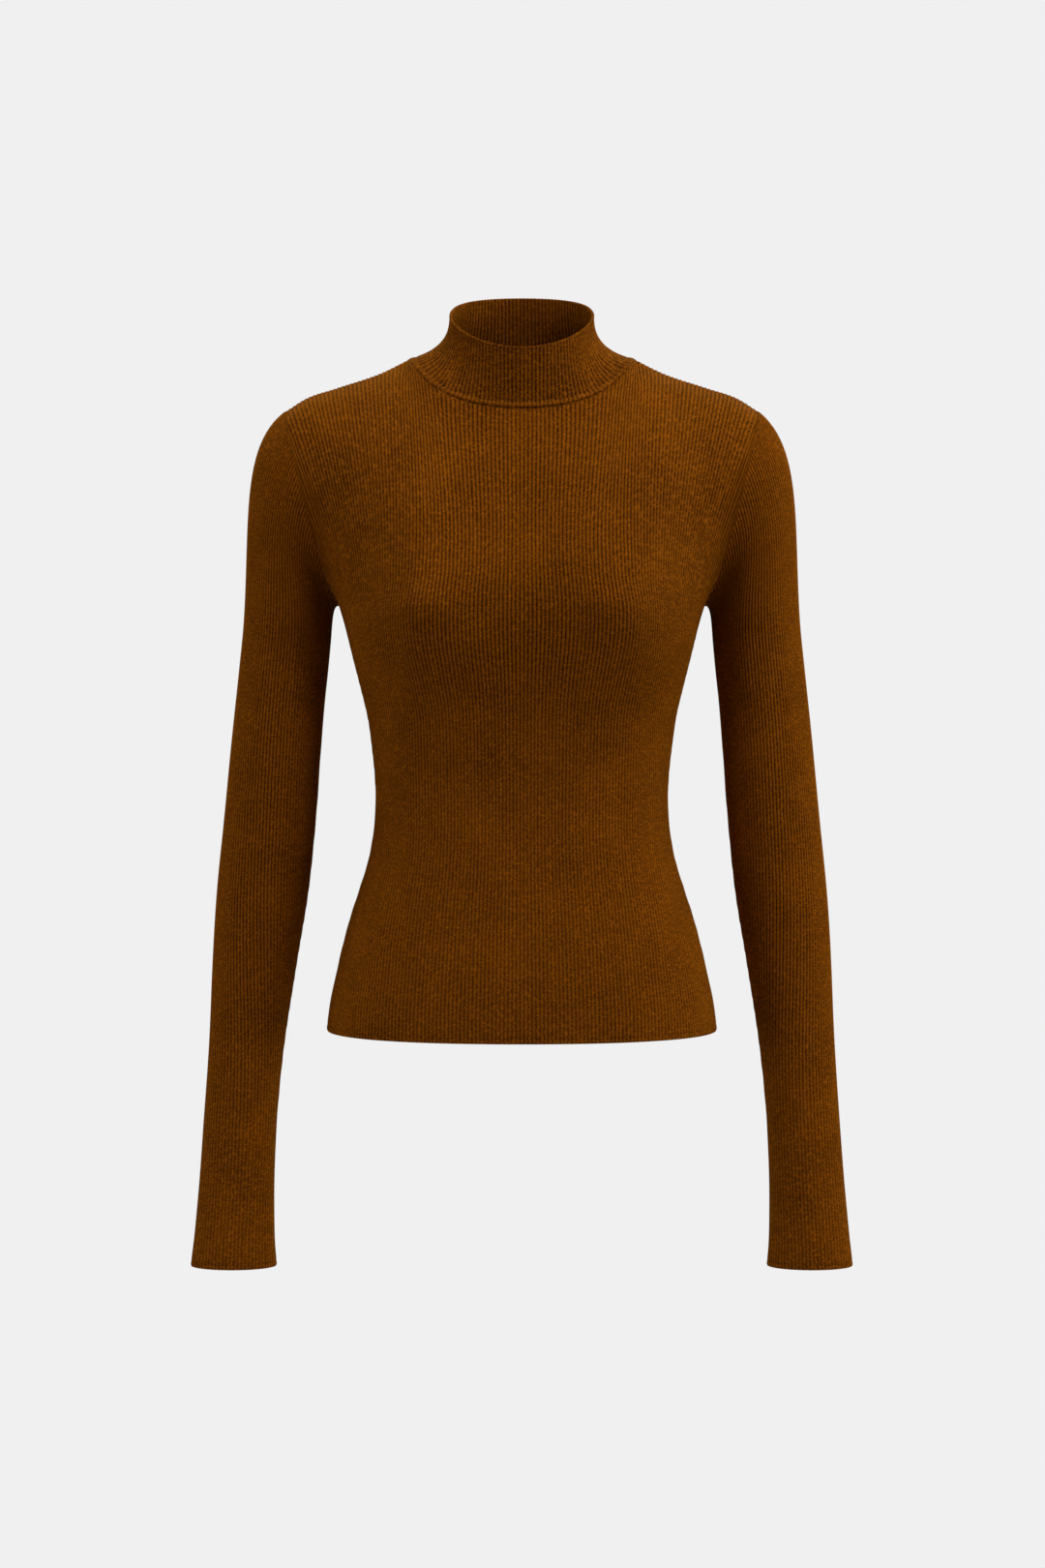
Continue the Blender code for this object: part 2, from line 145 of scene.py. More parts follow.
# Body sections in millimetres: height, half width, depth in front and behind, extra fullness at the bust.
HEM = -484.0
HEM_DIP = 1.5
BODY = np.array((
    (-484, 141.4, 98.0, 90.0, 0),
    (-460, 137.9, 99.0, 87.0, 0),
    (-435, 132.3, 98.5, 82.0, 0),
    (-410, 126.2, 96.5, 76.0, 0),
    (-385, 118.2, 93.0, 70.0, 0),
    (-360, 110.6, 89.0, 65.0, 0),
    (-320, 105.7, 84.0, 61.5, 0),
    (-280, 108.4, 84.5, 66.5, 0),
    (-255, 112.0, 88.5, 72.5, 1),
    (-232, 117.8, 94.5, 78.5, 7),
    (-214, 122.3, 101.0, 83.0, 15.2),
    (-198, 126.1, 106.0, 86.5, 21.0),
    (-182, 129.9, 108.7, 89.5, 23.6),
    (-166, 132.6, 107.7, 91.8, 22.6),
    (-145, 134.3, 103.0, 93.0, 18.0),
    (-110, 136.0, 91.0, 92.0, 8),
))
BODY_SQUARENESS = 0.86
BUST_OUT = 74.0
BUST_SPREAD = 35.0
BUST_EDGE = 3.0
SIDE_JOIN = -200.0
FRONT_JOIN = -150.0
BACK_JOIN = -112.0

# Neck seam: ahead, back, height. Shoulder seam: along, out, back, height.
NECK_HALF_WIDTH = 82.0
NECK = np.array((
    (1.00, -62.0, -38.5),
    (0.90, -57.0, -34.2),
    (0.64, -42.0, -21.7),
    (0.34, -23.0, -7.0),
    (0.00, 0.0, -0.5),
    (-0.34, 19.0, 1.0),
    (-0.77, 40.0, 2.5),
    (-1.00, 51.0, 3.0),
))
NECK_FIRST = 1.06
COLLAR_LEAN = 4.0
COLLAR_FLARE = 85.0
COLLAR_STAND = 40.0
SHOULDER = np.array((
    (0.00, 82.0, 0.0, -0.5),
    (0.20, 100.0, 5.0, -9.2),
    (0.57, 133.0, 9.0, -20.2),
    (0.84, 157.0, 9.5, -28.5),
    (1.00, 171.0, 8.0, -37.5),
))
UNDERARM_OUT = 133.0
UNDERARM = -178.0
SHOULDER_TIP_OUT = 171.0
SHOULDER_TIP = -37.5
ARMHOLE_MIDDLE = 6.0
ARMHOLE_DEPTH = 46.0
ARMHOLE_SLANT = 2.0
ARMHOLE_BOW = 0.85
ARMHOLE_GATHER = 0.8
SLEEVE_DROP = 0.6
SLEEVE_BACK = 0.12

# Directions of the ribs at the top edge: place, out, back, up. 1 is the side of the neck, 2 the shoulder
# tip and 3 the underarm.
FRONT_LEAN = np.array((
    (0.0, 0.00, 0.34, 0.94),
    (0.6, 0.00, 0.56, 0.83),
    (0.85, 0.02, 0.82, 0.57),
    (1.0, 0.02, 0.95, 0.30),
    (1.5, 0.03, 0.99, 0.14),
    (2.0, 0.05, 0.99, 0.05),
    (2.5, 0.22, 0.12, 0.97),
    (3.0, 0.95, 0.00, 0.30),
))
BACK_LEAN = np.array((
    (0.0, 0.00, -0.50, 0.87),
    (0.5, 0.00, -0.74, 0.67),
    (0.85, 0.02, -0.95, 0.30),
    (1.0, 0.02, -0.99, 0.10),
    (1.5, 0.03, -0.99, 0.10),
    (2.0, 0.05, -0.99, 0.05),
    (2.5, 0.22, -0.12, 0.97),
    (3.0, 0.95, 0.00, 0.30),
))
NECK_SHARE = 0.4
SHOULDER_SHARE = 0.8
HALF_COLUMNS = 40
BODY_ROWS = 14
CHEST_ROWS = 6
SOFTENING = 10

# Share of half a panel from which the cloth runs straight on to the armhole, in front (-1) and behind (1),
# the share before it over which that begins, the heights over which it comes in and fades out, and how
# far short of the armhole it stays.
FILL_FROM = {-1: 0.74, 1: 0.6}
FILL_BEFORE = 0.12
FILL_HEIGHTS = (-179.0, -166.0, -66.0, -46.0)
FILL_SHORT = 1.0

# Ribs across half a panel: share of the way up from the hem to the chest, ribs. The rest run off at the side.
RIBS_ACROSS = np.array(((0.0, 69.0), (0.17, 68.0), (0.35, 65.0), (0.58, 62.0), (0.8, 68.0), (1.0, 75.0)))


def along(table, at):
    """Every column of a table after its first, read smoothly at the values `at` of the first."""
    key, values = table[:, 0], table[:, 1:]
    if key[0] > key[-1]:
        key, values = key[::-1], values[::-1]
    slope = np.gradient(values, key, axis=0)
    at = np.clip(np.asarray(at, float), key[0], key[-1])
    row = np.clip(np.searchsorted(key, at, side="right") - 1, 0, len(key) - 2)
    step = (key[row + 1] - key[row])[..., None]
    t = ((at - key[row]) / (key[row + 1] - key[row]))[..., None]
    return bridge(values[row], slope[row] * step, values[row + 1], slope[row + 1] * step, t)


def bridge(start, leaving, end, arriving, t):
    """Cubic curve between two points with the given directions at its ends."""
    t2, t3 = t * t, t * t * t
    from_start = (2 * t3 - 3 * t2 + 1) * start + (t3 - 2 * t2 + t) * leaving
    return from_start + (3 * t2 - 2 * t3) * end + (t3 - t2) * arriving


def unit(vectors):
    return vectors / np.maximum(np.linalg.norm(vectors, axis=-1, keepdims=True), 1e-12)


def points(x, y, z):
    return np.stack(np.broadcast_arrays(x, y, z), axis=-1).astype(float)


def rounded(wave):
    """A sine or cosine made fuller, which squares a section a little."""
    return np.sign(wave) * np.abs(wave) ** BODY_SQUARENESS


def evenly(curve, first, last, shares):
    """Values between first and last that stand at equal steps of length along the curve."""
    tried = np.linspace(first, last, 193)
    steps = np.linalg.norm(np.diff(curve(tried), axis=0), axis=1)
    length = np.concatenate(([0.0], np.cumsum(steps)))
    return np.interp(np.asarray(shares) * length[-1], length, tried)


def body_section(height, turn):
    """Points on the body at one height: turn 0 is the front, a quarter the left side, a half the back."""
    half_width, front, back, bust = np.moveaxis(along(BODY, height), -1, 0)
    x = half_width * rounded(np.sin(turn))
    depth = np.where(np.cos(turn) > 0, front, back)
    y = -depth * rounded(np.cos(turn))
    fullness = bust * np.exp(-(((np.abs(x) - BUST_OUT) / BUST_SPREAD) ** 2))
    return points(x, y - fullness * np.clip(np.cos(turn) * BUST_EDGE, 0, 1), height)


def neck_seam(turn):
    """Points on the neck seam: turn 0 at the front, a half turn at the back."""
    back, height = np.moveaxis(along(NECK, np.cos(turn)), -1, 0)
    return points(NECK_HALF_WIDTH * np.sin(turn), back, height)


def neck_turn(share):
    """Turns along a quarter of the neck seam: ribs near its middle keep their spacing and stay upright."""
    return NECK_FIRST * share + (math.pi / 2 - NECK_FIRST) * share**3


def collar_leaving(turn):
    """How the collar leaves the neck seam: upright at the front and back, and flatter at the sides."""
    flat = np.sin(turn) ** 2
    inward = COLLAR_LEAN + (COLLAR_FLARE - COLLAR_LEAN) * flat
    return points(-inward * np.sin(turn), inward * np.cos(turn), COLLAR_STAND * (1 - flat / 2))


def shoulder_seam(place):
    return along(SHOULDER, place)


def armhole_seam(turn):
    """Points on the left armhole: turn 0 under the arm, a quarter in front, a half at the shoulder tip."""
    rise = (1 - np.cos(turn)) / 2
    return points(
        UNDERARM_OUT + (SHOULDER_TIP_OUT - UNDERARM_OUT) * rise**ARMHOLE_BOW,
        ARMHOLE_MIDDLE + ARMHOLE_SLANT * rise - ARMHOLE_DEPTH * np.sin(turn),
        UNDERARM + (SHOULDER_TIP - UNDERARM) * rise,
    )


def sleeve_leaving(turn):
    """Direction in which the sleeve leaves the armhole: level under the arm, sloping at the shoulder."""
    down = SLEEVE_DROP * np.abs(np.sin(turn / 2))
    back = SLEEVE_BACK * np.sin(turn)
    return points(np.sqrt(1 - down**2 - back**2), back, -down)


def seam_normal(curve, turn, leaving):
    """The outward direction at a seam, shared by the two pieces that meet there."""
    run = curve(turn + 1e-3) - curve(turn - 1e-3)
    return unit(np.cross(run, leaving))


def grid_normals(grid, closed):
    """Outward directions of a grid whose rows go up the piece and whose columns go round it."""
    up = np.gradient(grid, axis=0)
    if closed:
        across = np.roll(grid, -1, axis=1) - np.roll(grid, 1, axis=1)
    else:
        across = np.gradient(grid, axis=1)
    return unit(np.cross(across, up))


def panel_top(share, facing):
    """Points, seam normals and rib directions on the top of half a panel: -1 faces front, 1 faces back."""
    middle = 0.0 if facing < 0 else math.pi
    neck = share <= NECK_SHARE
    shoulder = (share > NECK_SHARE) & (share < SHOULDER_SHARE)
    sleeve = share >= SHOULDER_SHARE
    top, normal = np.zeros((len(share), 3)), np.zeros((len(share), 3))
    place = np.zeros(len(share))

    place[neck] = share[neck] / NECK_SHARE
    turn = middle - facing * neck_turn(place[neck])
    leaving = unit(collar_leaving(turn))
    top[neck] = neck_seam(turn) - leaving * SEAM_GAP / 2
    normal[neck] = seam_normal(neck_seam, turn, leaving)

    place[shoulder] = 1 + (share[shoulder] - NECK_SHARE) / (SHOULDER_SHARE - NECK_SHARE)
    step = place[shoulder] - 1
    top[shoulder] = shoulder_seam(step)
    run = shoulder_seam(step + 0.01) - shoulder_seam(step - 0.01)
    normal[shoulder] = unit(np.cross(run, (0.0, 1.0, 0.0)))

    place[sleeve] = 2 + (share[sleeve] - SHOULDER_SHARE) / (1 - SHOULDER_SHARE)
    front_side = math.pi if facing < 0 else -math.pi
    turn = evenly(armhole_seam, front_side, 0.0, (place[sleeve] - 2) ** ARMHOLE_GATHER)
    leaving = sleeve_leaving(turn)
    top[sleeve] = armhole_seam(turn) - leaving * SEAM_GAP / 2
    normal[sleeve] = -seam_normal(armhole_seam, turn, leaving)
    top[shoulder | sleeve, 1] += facing * SEAM_GAP / 2
    return top, normal, unit(along(FRONT_LEAN if facing < 0 else BACK_LEAN, place))


def whole(half):
    """The half panel and its mirror image, side by side."""
    return np.concatenate(((half * (-1.0, 1.0, 1.0))[:, :0:-1], half), axis=1)


def fill_to_armhole(form, share, facing):
    """Lets the cloth run on from the chest to the armhole at each height, with no groove beside the seam."""
    column = np.searchsorted(share, FILL_FROM[facing])
    outer = form[BODY_ROWS:-1, column + 1:]
    out, level = outer[..., 0], outer[..., 2]
    edge = armhole_seam(-facing * np.linspace(0.0, math.pi, 200))
    (x0, y0), (x1, y1), (x2, y2) = (
        (np.interp(level, line[:, 2], line[:, 0]), np.interp(level, line[:, 2], line[:, 1]))
        for line in (form[:, column - 2], form[:, column], edge)
    )
    slope = (y1 - y0) / (x1 - x0)
    bend = (y2 - y1 - slope * (x2 - x1)) / (x2 - x1) ** 2
    run = np.clip(out, x1, x2) - x1
    part = np.interp(level, FILL_HEIGHTS, (0.0, 1.0, 1.0, 0.0))
    part = part**2 * (3 - 2 * part)
    out -= part * np.maximum(out - x2 + FILL_SHORT, 0.0)
    outer[..., 1] += part * (y1 + slope * run + bend * run**2 - outer[..., 1])


def panel_form(facing):
    """Plain form of the front or the back without its ribs, and its outward directions."""
    share = np.linspace(0.0, 1.0, HALF_COLUMNS + 1)
    middle = 0.0 if facing < 0 else math.pi
    centre_join = FRONT_JOIN if facing < 0 else BACK_JOIN
    join = centre_join + (SIDE_JOIN - centre_join) * share**2

    def on_body(height):
        turns = [
            evenly(lambda turn: body_section(level, turn), middle, math.pi / 2, one)
            for level, one in zip(height, share)
        ]
        return body_section(height, np.array(turns))

    hem = HEM - HEM_DIP * (1.0 - share**2)
    rows = [on_body(hem + (join - hem) * step) for step in np.linspace(0.0, 1.0, BODY_ROWS + 1)]
    start = rows[-1]
    top, top_normal, lean = panel_top(share, facing)
    rise = unit(start - on_body(join - 1.0))
    stretch = np.linalg.norm(top - start, axis=1, keepdims=True)
    for t in np.linspace(0.0, 1.0, CHEST_ROWS + 1)[1:]:
        rows.append(bridge(start, rise * stretch, top, lean * stretch, t))
    form = np.array(rows)
    chest = form[BODY_ROWS:-1]
    firm = chest.copy()
    for _ in range(SOFTENING):
        mirrored = chest[:, 1:2] * (-1.0, 1.0, 1.0)
        eased = (np.concatenate((mirrored, chest[:, :-2]), axis=1) + chest[:, 1:]) / 2
        chest[:, :-1] = (chest[:, :-1] + eased) / 2
    kept = np.clip((share - FILL_FROM[facing]) / FILL_BEFORE + 1.0, 0.0, 1.0)
    chest += kept[:, None] * (firm - chest)
    fill_to_armhole(form, share, facing)
    normal = grid_normals(form, closed=False) * -facing
    normal[-1] = top_normal
    normal[:, -1, 1] = 0.0
    normal[:, 0, 0] = 0.0
    form[:-1, -1, 1] += facing * SEAM_GAP / 2
    return whole(form), whole(unit(normal))


def read_down(form, at):
    """The form read smoothly between its rows."""
    table = np.column_stack((np.arange(len(form)), form.reshape(len(form), -1)))
    return along(table, at).reshape(len(at), *form.shape[1:])


def read_across(form, place, closed):
    """The form read smoothly between its columns, at the places that each row asks for."""
    if closed:
        padded = np.concatenate((form[:, -1:], form, form[:, :2]), axis=1)
        last = form.shape[1] - 1
    else:
        ends = (2 * form[:, :1] - form[:, 1:2], 2 * form[:, -1:] - form[:, -2:-1])
        padded = np.concatenate((ends[0], form, ends[1]), axis=1)
        last = form.shape[1] - 2
    column = np.clip(place.astype(int), 0, last)
    t = (place - column)[..., None]
    row = np.arange(len(form))[:, None]
    a, b, c, d = (padded[row, column + k] for k in range(4))
    return b + t / 2 * (c - a + t * (2 * a - 5 * b + 4 * c - d + t * (3 * (b - c) + d - a)))


def rib_columns(ribs):
    """Places across half a piece at which points stand, counted in ribs, and how deep each lies."""
    place = [0.0] + [k + part for k in range(ribs) for part, _ in RIB_POINTS]
    depth = [0.0] + [sunk for _ in range(ribs) for _, sunk in RIB_POINTS]
    sign = np.repeat((-1, 1), (len(place) - 1, len(place)))
    return np.array(place[:0:-1] + place) * sign, np.array(depth[:0:-1] + depth)


def run_off(share):
    """Places that stay on the piece, and which points have run off it at its first (-1) or last side (1)."""
    cut_off = np.where(share <= -1, -1, np.where(share >= 1, 1, 0))
    cut_off[:, 0] = cut_off[:, -1] = 0
    return np.clip(share, -1.0, 1.0), cut_off


def walked(form, axis):
    """Distance walked over a grid of points, from its first row or its first column."""
    steps = np.linalg.norm(np.diff(form, axis=axis), axis=2)
    return np.cumsum(np.insert(steps, 0, 0.0, axis=axis), axis=axis)


def distance_to(form, line):
    gap = np.empty(form.shape[:2])
    for r, row in enumerate(form):
        gap[r] = np.linalg.norm(row[:, None] - line[None], axis=-1).min(axis=1)
    return gap


def hump(distance, middle, width):
    return np.exp(-(((distance - middle) / width) ** 2))


def beside(gaps, changes):
    """The sum of narrow changes, each at a distance from one of the lines, with a width and an amount."""
    return sum(amount * hump(gaps[line], middle, width) for line, middle, width, amount in changes)


def coming_in(gaps, starts):
    """A share that comes in beside each line: from a distance, over a width, from a least share up to 1."""
    share = 1.0
    for line, start, width, least in starts:
        share = share * np.clip((gaps[line] - start) / width, least, 1.0)
    return share


def soft_noise(shape, steps, seed):
    """Slow, uneven swells between -1 and 1 over a grid, the same each run."""
    swells = np.random.default_rng(seed).uniform(-1.0, 1.0, (steps[0] + 1, steps[1] + 1, 1))
    tall = read_down(swells, np.linspace(0, steps[0], shape[0]))
    place = np.broadcast_to(np.linspace(0, steps[1], shape[1]), shape)
    return read_across(tall, place, closed=False)[..., 0]


CREASE_END = 0.25
CREASE_FADE = 0.7


def creases(form, marks):
    """Soft troughs and ridges, each from a first to a last point, of a width and a height that fades out."""
    total = np.zeros(form.shape[:2])
    for first, last, width, height in marks:
        first, last = np.array(first, float), np.array(last, float)
        run = last - first
        t = np.clip((form - first) @ run / (run @ run), 0.0, 1.0)
        gap = np.linalg.norm(form - (first + t[..., None] * run), axis=-1)
        strength = CREASE_END + (1.0 - CREASE_END) * np.sin(math.pi * t) ** CREASE_FADE
        total += height * strength * hump(gap, 0.0, width)
    return total


def knit_piece(name, outside, inside, ridge, painted_seam_shade_and_light, wales, courses, cut_off, tube, material, every=(2, 4)):
    """A closed wall of cloth: ribbed outside, an inside on fewer rows and columns, and turned edges."""
    rows, columns = outside.shape[:2]
    ids = np.arange(rows * columns).reshape(rows, columns)
    ids = np.where(cut_off < 0, ids[:, :1], np.where(cut_off > 0, ids[:, -1:], ids))
    if tube:
        ids = np.where(ids == ids[:, -1:], ids[:, :1], ids)
    down = sorted(set(range(0, rows, every[0])) | {rows - 1})
    over = np.arange(0, columns, every[1])
    inner_ids = ids[np.ix_(down, over)] + rows * columns
    place = np.concatenate((outside.reshape(-1, 3), inside.reshape(-1, 3)))
    knit = np.stack((wales, courses), axis=-1)
    upright = np.linspace(0.02, 0.98, rows)
    flat = np.stack(np.meshgrid(np.linspace(0.02, 0.78, columns), upright), axis=-1)
    lining = np.stack(np.meshgrid(np.linspace(0.82, 0.98, columns), upright), axis=-1)

    faces, knit_uv, bake_uv = [], [], []
    outer_ids, inner_list, knit_list = ids.tolist(), inner_ids.tolist(), knit.tolist()
    flat_list, lining_list = flat.tolist(), lining.tolist()

    def add(corners, spots, sheet):
        """One face: its points, their places in the grid of stitches, and the sheet its bake map lies on."""
        kept = [k for k in range(len(corners)) if corners[k] != corners[k - 1]]
        if len(kept) >= 3 and len({corners[k] for k in kept}) == len(kept):
            faces.append([corners[k] for k in kept])
            knit_uv.extend(knit_list[spots[k][0]][spots[k][1]] for k in kept)
            bake_uv.extend(sheet[spots[k][0]][spots[k][1]] for k in kept)

    def add_edge(within, ends, edge, way):
        """One face of a turned edge, from two points of the inside to those of the outside next to them."""
        corners = [inner_list[a][b] for a, b in within] + [outer_ids[a][b] for a, b in edge]
        add(corners[::way], (ends + edge)[::way], flat_list)

    turn = ((0, 0), (0, 1), (1, 1), (1, 0))
    for r in range(rows - 1):
        for c in range(columns - 1):
            spots = [(r + a, c + b) for a, b in turn]
            add([outer_ids[a][b] for a, b in spots], spots, flat_list)
    for r in range(len(down) - 1):
        for c in range(len(over) - 1):
            spots = [(r + a, c + b) for a, b in turn[::-1]]
            real = [(down[a], over[b]) for a, b in spots]
            add([inner_list[a][b] for a, b in spots], real, lining_list)
    for level, row, way in ((0, 0, 1), (rows - 1, len(down) - 1, -1)):
        for c in range(len(over) - 1):
            edge = [(level, k) for k in range(over[c + 1], over[c] - 1, -1)]
            add_edge([(row, c), (row, c + 1)], [(level, over[c]), (level, over[c + 1])], edge, way)
    if not tube:
        for side, column, way in ((0, 0, -1), (columns - 1, len(over) - 1, 1)):
            for r in range(len(down) - 1):
                edge = [(k, side) for k in range(down[r + 1], down[r] - 1, -1)]
                ends = [(down[r], side), (down[r + 1], side)]
                add_edge([(r, column), (r + 1, column)], ends, edge, way)

    used = np.unique(np.concatenate([np.array(face) for face in faces]))
    renumber = np.full(len(place), -1)
    renumber[used] = np.arange(len(used))
    data = bpy.data.meshes.new(name)
    data.from_pydata((place[used] * MM).tolist(), [], [renumber[face].tolist() for face in faces])
    for label, values in (("knit", knit_uv), ("OFBake", bake_uv)):
        layer = data.uv_layers.new(name=label)
        layer.uv.foreach_set("vector", np.array(values, np.float32).reshape(-1))
    # The painted rib shade and the painted seam shade and light lie on the outside; the inside gets a middle
    # tone and no seam shade.
    for label, outer_values, inner_value in (
        ("ridge", ridge, 0.5),
        ("seam_shade", painted_seam_shade_and_light, 0.0),
        ("inside", np.zeros_like(ridge), 1.0),
    ):
        attribute = data.attributes.new(label, "FLOAT", "POINT")
        values = np.concatenate((outer_values.reshape(-1), np.full(rows * columns, inner_value)))
        attribute.data.foreach_set("value", values[used].astype(np.float32))
    data.update()
    mesh = bmesh.new()
    mesh.from_mesh(data)
    if mesh.calc_volume(signed=True) < 0:
        bmesh.ops.reverse_faces(mesh, faces=mesh.faces)
    mesh.to_mesh(data)
    mesh.free()
    data.shade_smooth()
    data.materials.append(material)
    piece = bpy.data.objects.new(name, data)
    bpy.context.scene.collection.objects.link(piece)
    return piece


# The yarn's look is shared by every piece. "knit_loops" lays the slanting stitches along each rib, with the
# hollows between its loops, a painted highlight along its crest, and flecks, and "yarn_tone" gives the
# heathered grain and the slow unevenness of the dye, and mixes dark and light yarn by a value that also
# carries the painted shade and highlight.
def new_group(name, ins, outs):
    group = bpy.data.node_groups.new(name, "ShaderNodeTree")
    for label, kind, value in ins:
        socket = group.interface.new_socket(label, in_out="INPUT", socket_type=kind)
        if value is not None:
            socket.default_value = value
    for label, kind in outs:
        group.interface.new_socket(label, in_out="OUTPUT", socket_type=kind)
    return group, group.nodes.new("NodeGroupInput"), group.nodes.new("NodeGroupOutput")


def sums(tree, operation, first, second=None, third=None):
    """A Math node whose inputs are sockets or plain numbers, and its output."""
    node = tree.nodes.new("ShaderNodeMath")
    node.operation = operation
    for socket, value in zip(node.inputs, (first, second, third)):
        if value is None:
            continue
        if isinstance(value, (int, float)):
            socket.default_value = value
        else:
            tree.links.new(value, socket)
    return node.outputs[0]


def ramp(tree, value, low, high, to_low=0.0, to_high=1.0):
    node = tree.nodes.new("ShaderNodeMapRange")
    node.interpolation_type = "SMOOTHSTEP"
    for label, number in (("From Min", low), ("From Max", high), ("To Min", to_low), ("To Max", to_high)):
        node.inputs[label].default_value = number
    tree.links.new(value, node.inputs["Value"])
    return node.outputs["Result"]


loops, loops_in, loops_out = new_group(
    "knit_loops",
    (("Stitches", "NodeSocketVector", None), ("Slant", "NodeSocketFloat", 0.9)),
    (
        ("Height", "NodeSocketFloat"),
        ("Gap", "NodeSocketFloat"),
        ("Inner Rib", "NodeSocketFloat"),
        ("Fleck", "NodeSocketFloat"),
        ("Painted Crest Light", "NodeSocketFloat"),
    ),
)
split = loops.nodes.new("ShaderNodeSeparateXYZ")
loops.links.new(loops_in.outputs["Stitches"], split.inputs[0])
wale = sums(loops, "SUBTRACT", sums(loops, "FRACT", sums(loops, "ADD", split.outputs["X"], 0.5)), 0.5)
aside = sums(loops, "ABSOLUTE", wale)
leaned = sums(loops, "MULTIPLY_ADD", aside, loops_in.outputs["Slant"], split.outputs["Y"])
wave = sums(loops, "SINE", sums(loops, "MULTIPLY", leaned, 2 * math.pi))
crown = ramp(loops, aside, 0.25, 0.5, 1.0, 0.25)
parting = ramp(loops, aside, 0.0, 0.09, -0.35, 0.0)
loop_height = sums(loops, "MULTIPLY", sums(loops, "MULTIPLY_ADD", wave, 0.5, 0.5), crown)
loop_height = sums(loops, "ADD", loop_height, parting)
loops.links.new(loop_height, loops_out.inputs["Height"])
# Gap marks the hollows between the loops, which the knit paints with shade. The crest output is a painted
# highlight along the middle of each rib, with painted shade on its flanks.
loops.links.new(ramp(loops, wave, -1.0, -0.2, 1.0, 0.0), loops_out.inputs["Gap"])
loops.links.new(ramp(loops, aside, 0.15, 0.5, 1.0, 0.0), loops_out.inputs["Inner Rib"])
loops.links.new(ramp(loops, aside, 0.05, 0.28, 0.14, -0.07), loops_out.inputs["Painted Crest Light"])
own_rib = sums(loops, "FLOOR", sums(loops, "ADD", split.outputs["X"], 0.5))
own_side = sums(loops, "MULTIPLY", sums(loops, "GREATER_THAN", wale, 0.0), 2.3)
dashes = loops.nodes.new("ShaderNodeCombineXYZ")
loops.links.new(sums(loops, "MULTIPLY_ADD", own_rib, 7.3, own_side), dashes.inputs["X"])
loops.links.new(sums(loops, "MULTIPLY", split.outputs["Y"], 0.7), dashes.inputs["Y"])
fleck = loops.nodes.new("ShaderNodeTexNoise")
fleck.inputs["Scale"].default_value = 1.0
fleck.inputs["Detail"].default_value = 2.0
loops.links.new(dashes.outputs["Vector"], fleck.inputs["Vector"])
flecks = sums(loops, "MAXIMUM", fleck.outputs["Fac"], 0.45)
loops.links.new(sums(loops, "SUBTRACT", flecks, 0.51), loops_out.inputs["Fleck"])

tone, tone_in, tone_out = new_group(
    "yarn_tone",
    (
        ("Place", "NodeSocketVector", None),
        ("Dark", "NodeSocketColor", (0.1, 0.03, 0.003, 1.0)),
        ("Light", "NodeSocketColor", (0.2, 0.07, 0.008, 1.0)),
        ("Lift", "NodeSocketFloat", 0.5),
    ),
    (("Color", "NodeSocketColor"), ("Fuzz", "NodeSocketFloat")),
)
grain = tone.nodes.new("ShaderNodeTexNoise")
grain.inputs["Scale"].default_value = 1500.0
grain.inputs["Detail"].default_value = 3.0
swell = tone.nodes.new("ShaderNodeTexNoise")
swell.inputs["Scale"].default_value = 26.0
swell.inputs["Detail"].default_value = 2.0
for texture in (grain, swell):
    tone.links.new(tone_in.outputs["Place"], texture.inputs["Vector"])
stray = sums(tone, "SUBTRACT", grain.outputs["Fac"], 0.5)
slow = sums(tone, "SUBTRACT", swell.outputs["Fac"], 0.5)
lifted = sums(tone, "MULTIPLY_ADD", stray, 0.55, tone_in.outputs["Lift"])
lifted = sums(tone, "MULTIPLY_ADD", slow, 0.45, lifted)
dye = tone.nodes.new("ShaderNodeMix")
dye.data_type = "RGBA"
dye.clamp_factor = False
dye.clamp_result = True
tone.links.new(lifted, dye.inputs["Factor"])
tone.links.new(tone_in.outputs["Dark"], dye.inputs["A"])
tone.links.new(tone_in.outputs["Light"], dye.inputs["B"])
tone.links.new(dye.outputs["Result"], tone_out.inputs["Color"])
tone.links.new(grain.outputs["Fac"], tone_out.inputs["Fuzz"])


# Painted shade in the gaps between loops, the strength of the random flecks, and on the inside a painted
# light on each rib with painted shade between them.
LOOP_GAP_SHADE = -0.22
FLECK_STRENGTH = 2.9
INNER_RIB_PAINTED_SHADE = (0.42, -0.10)


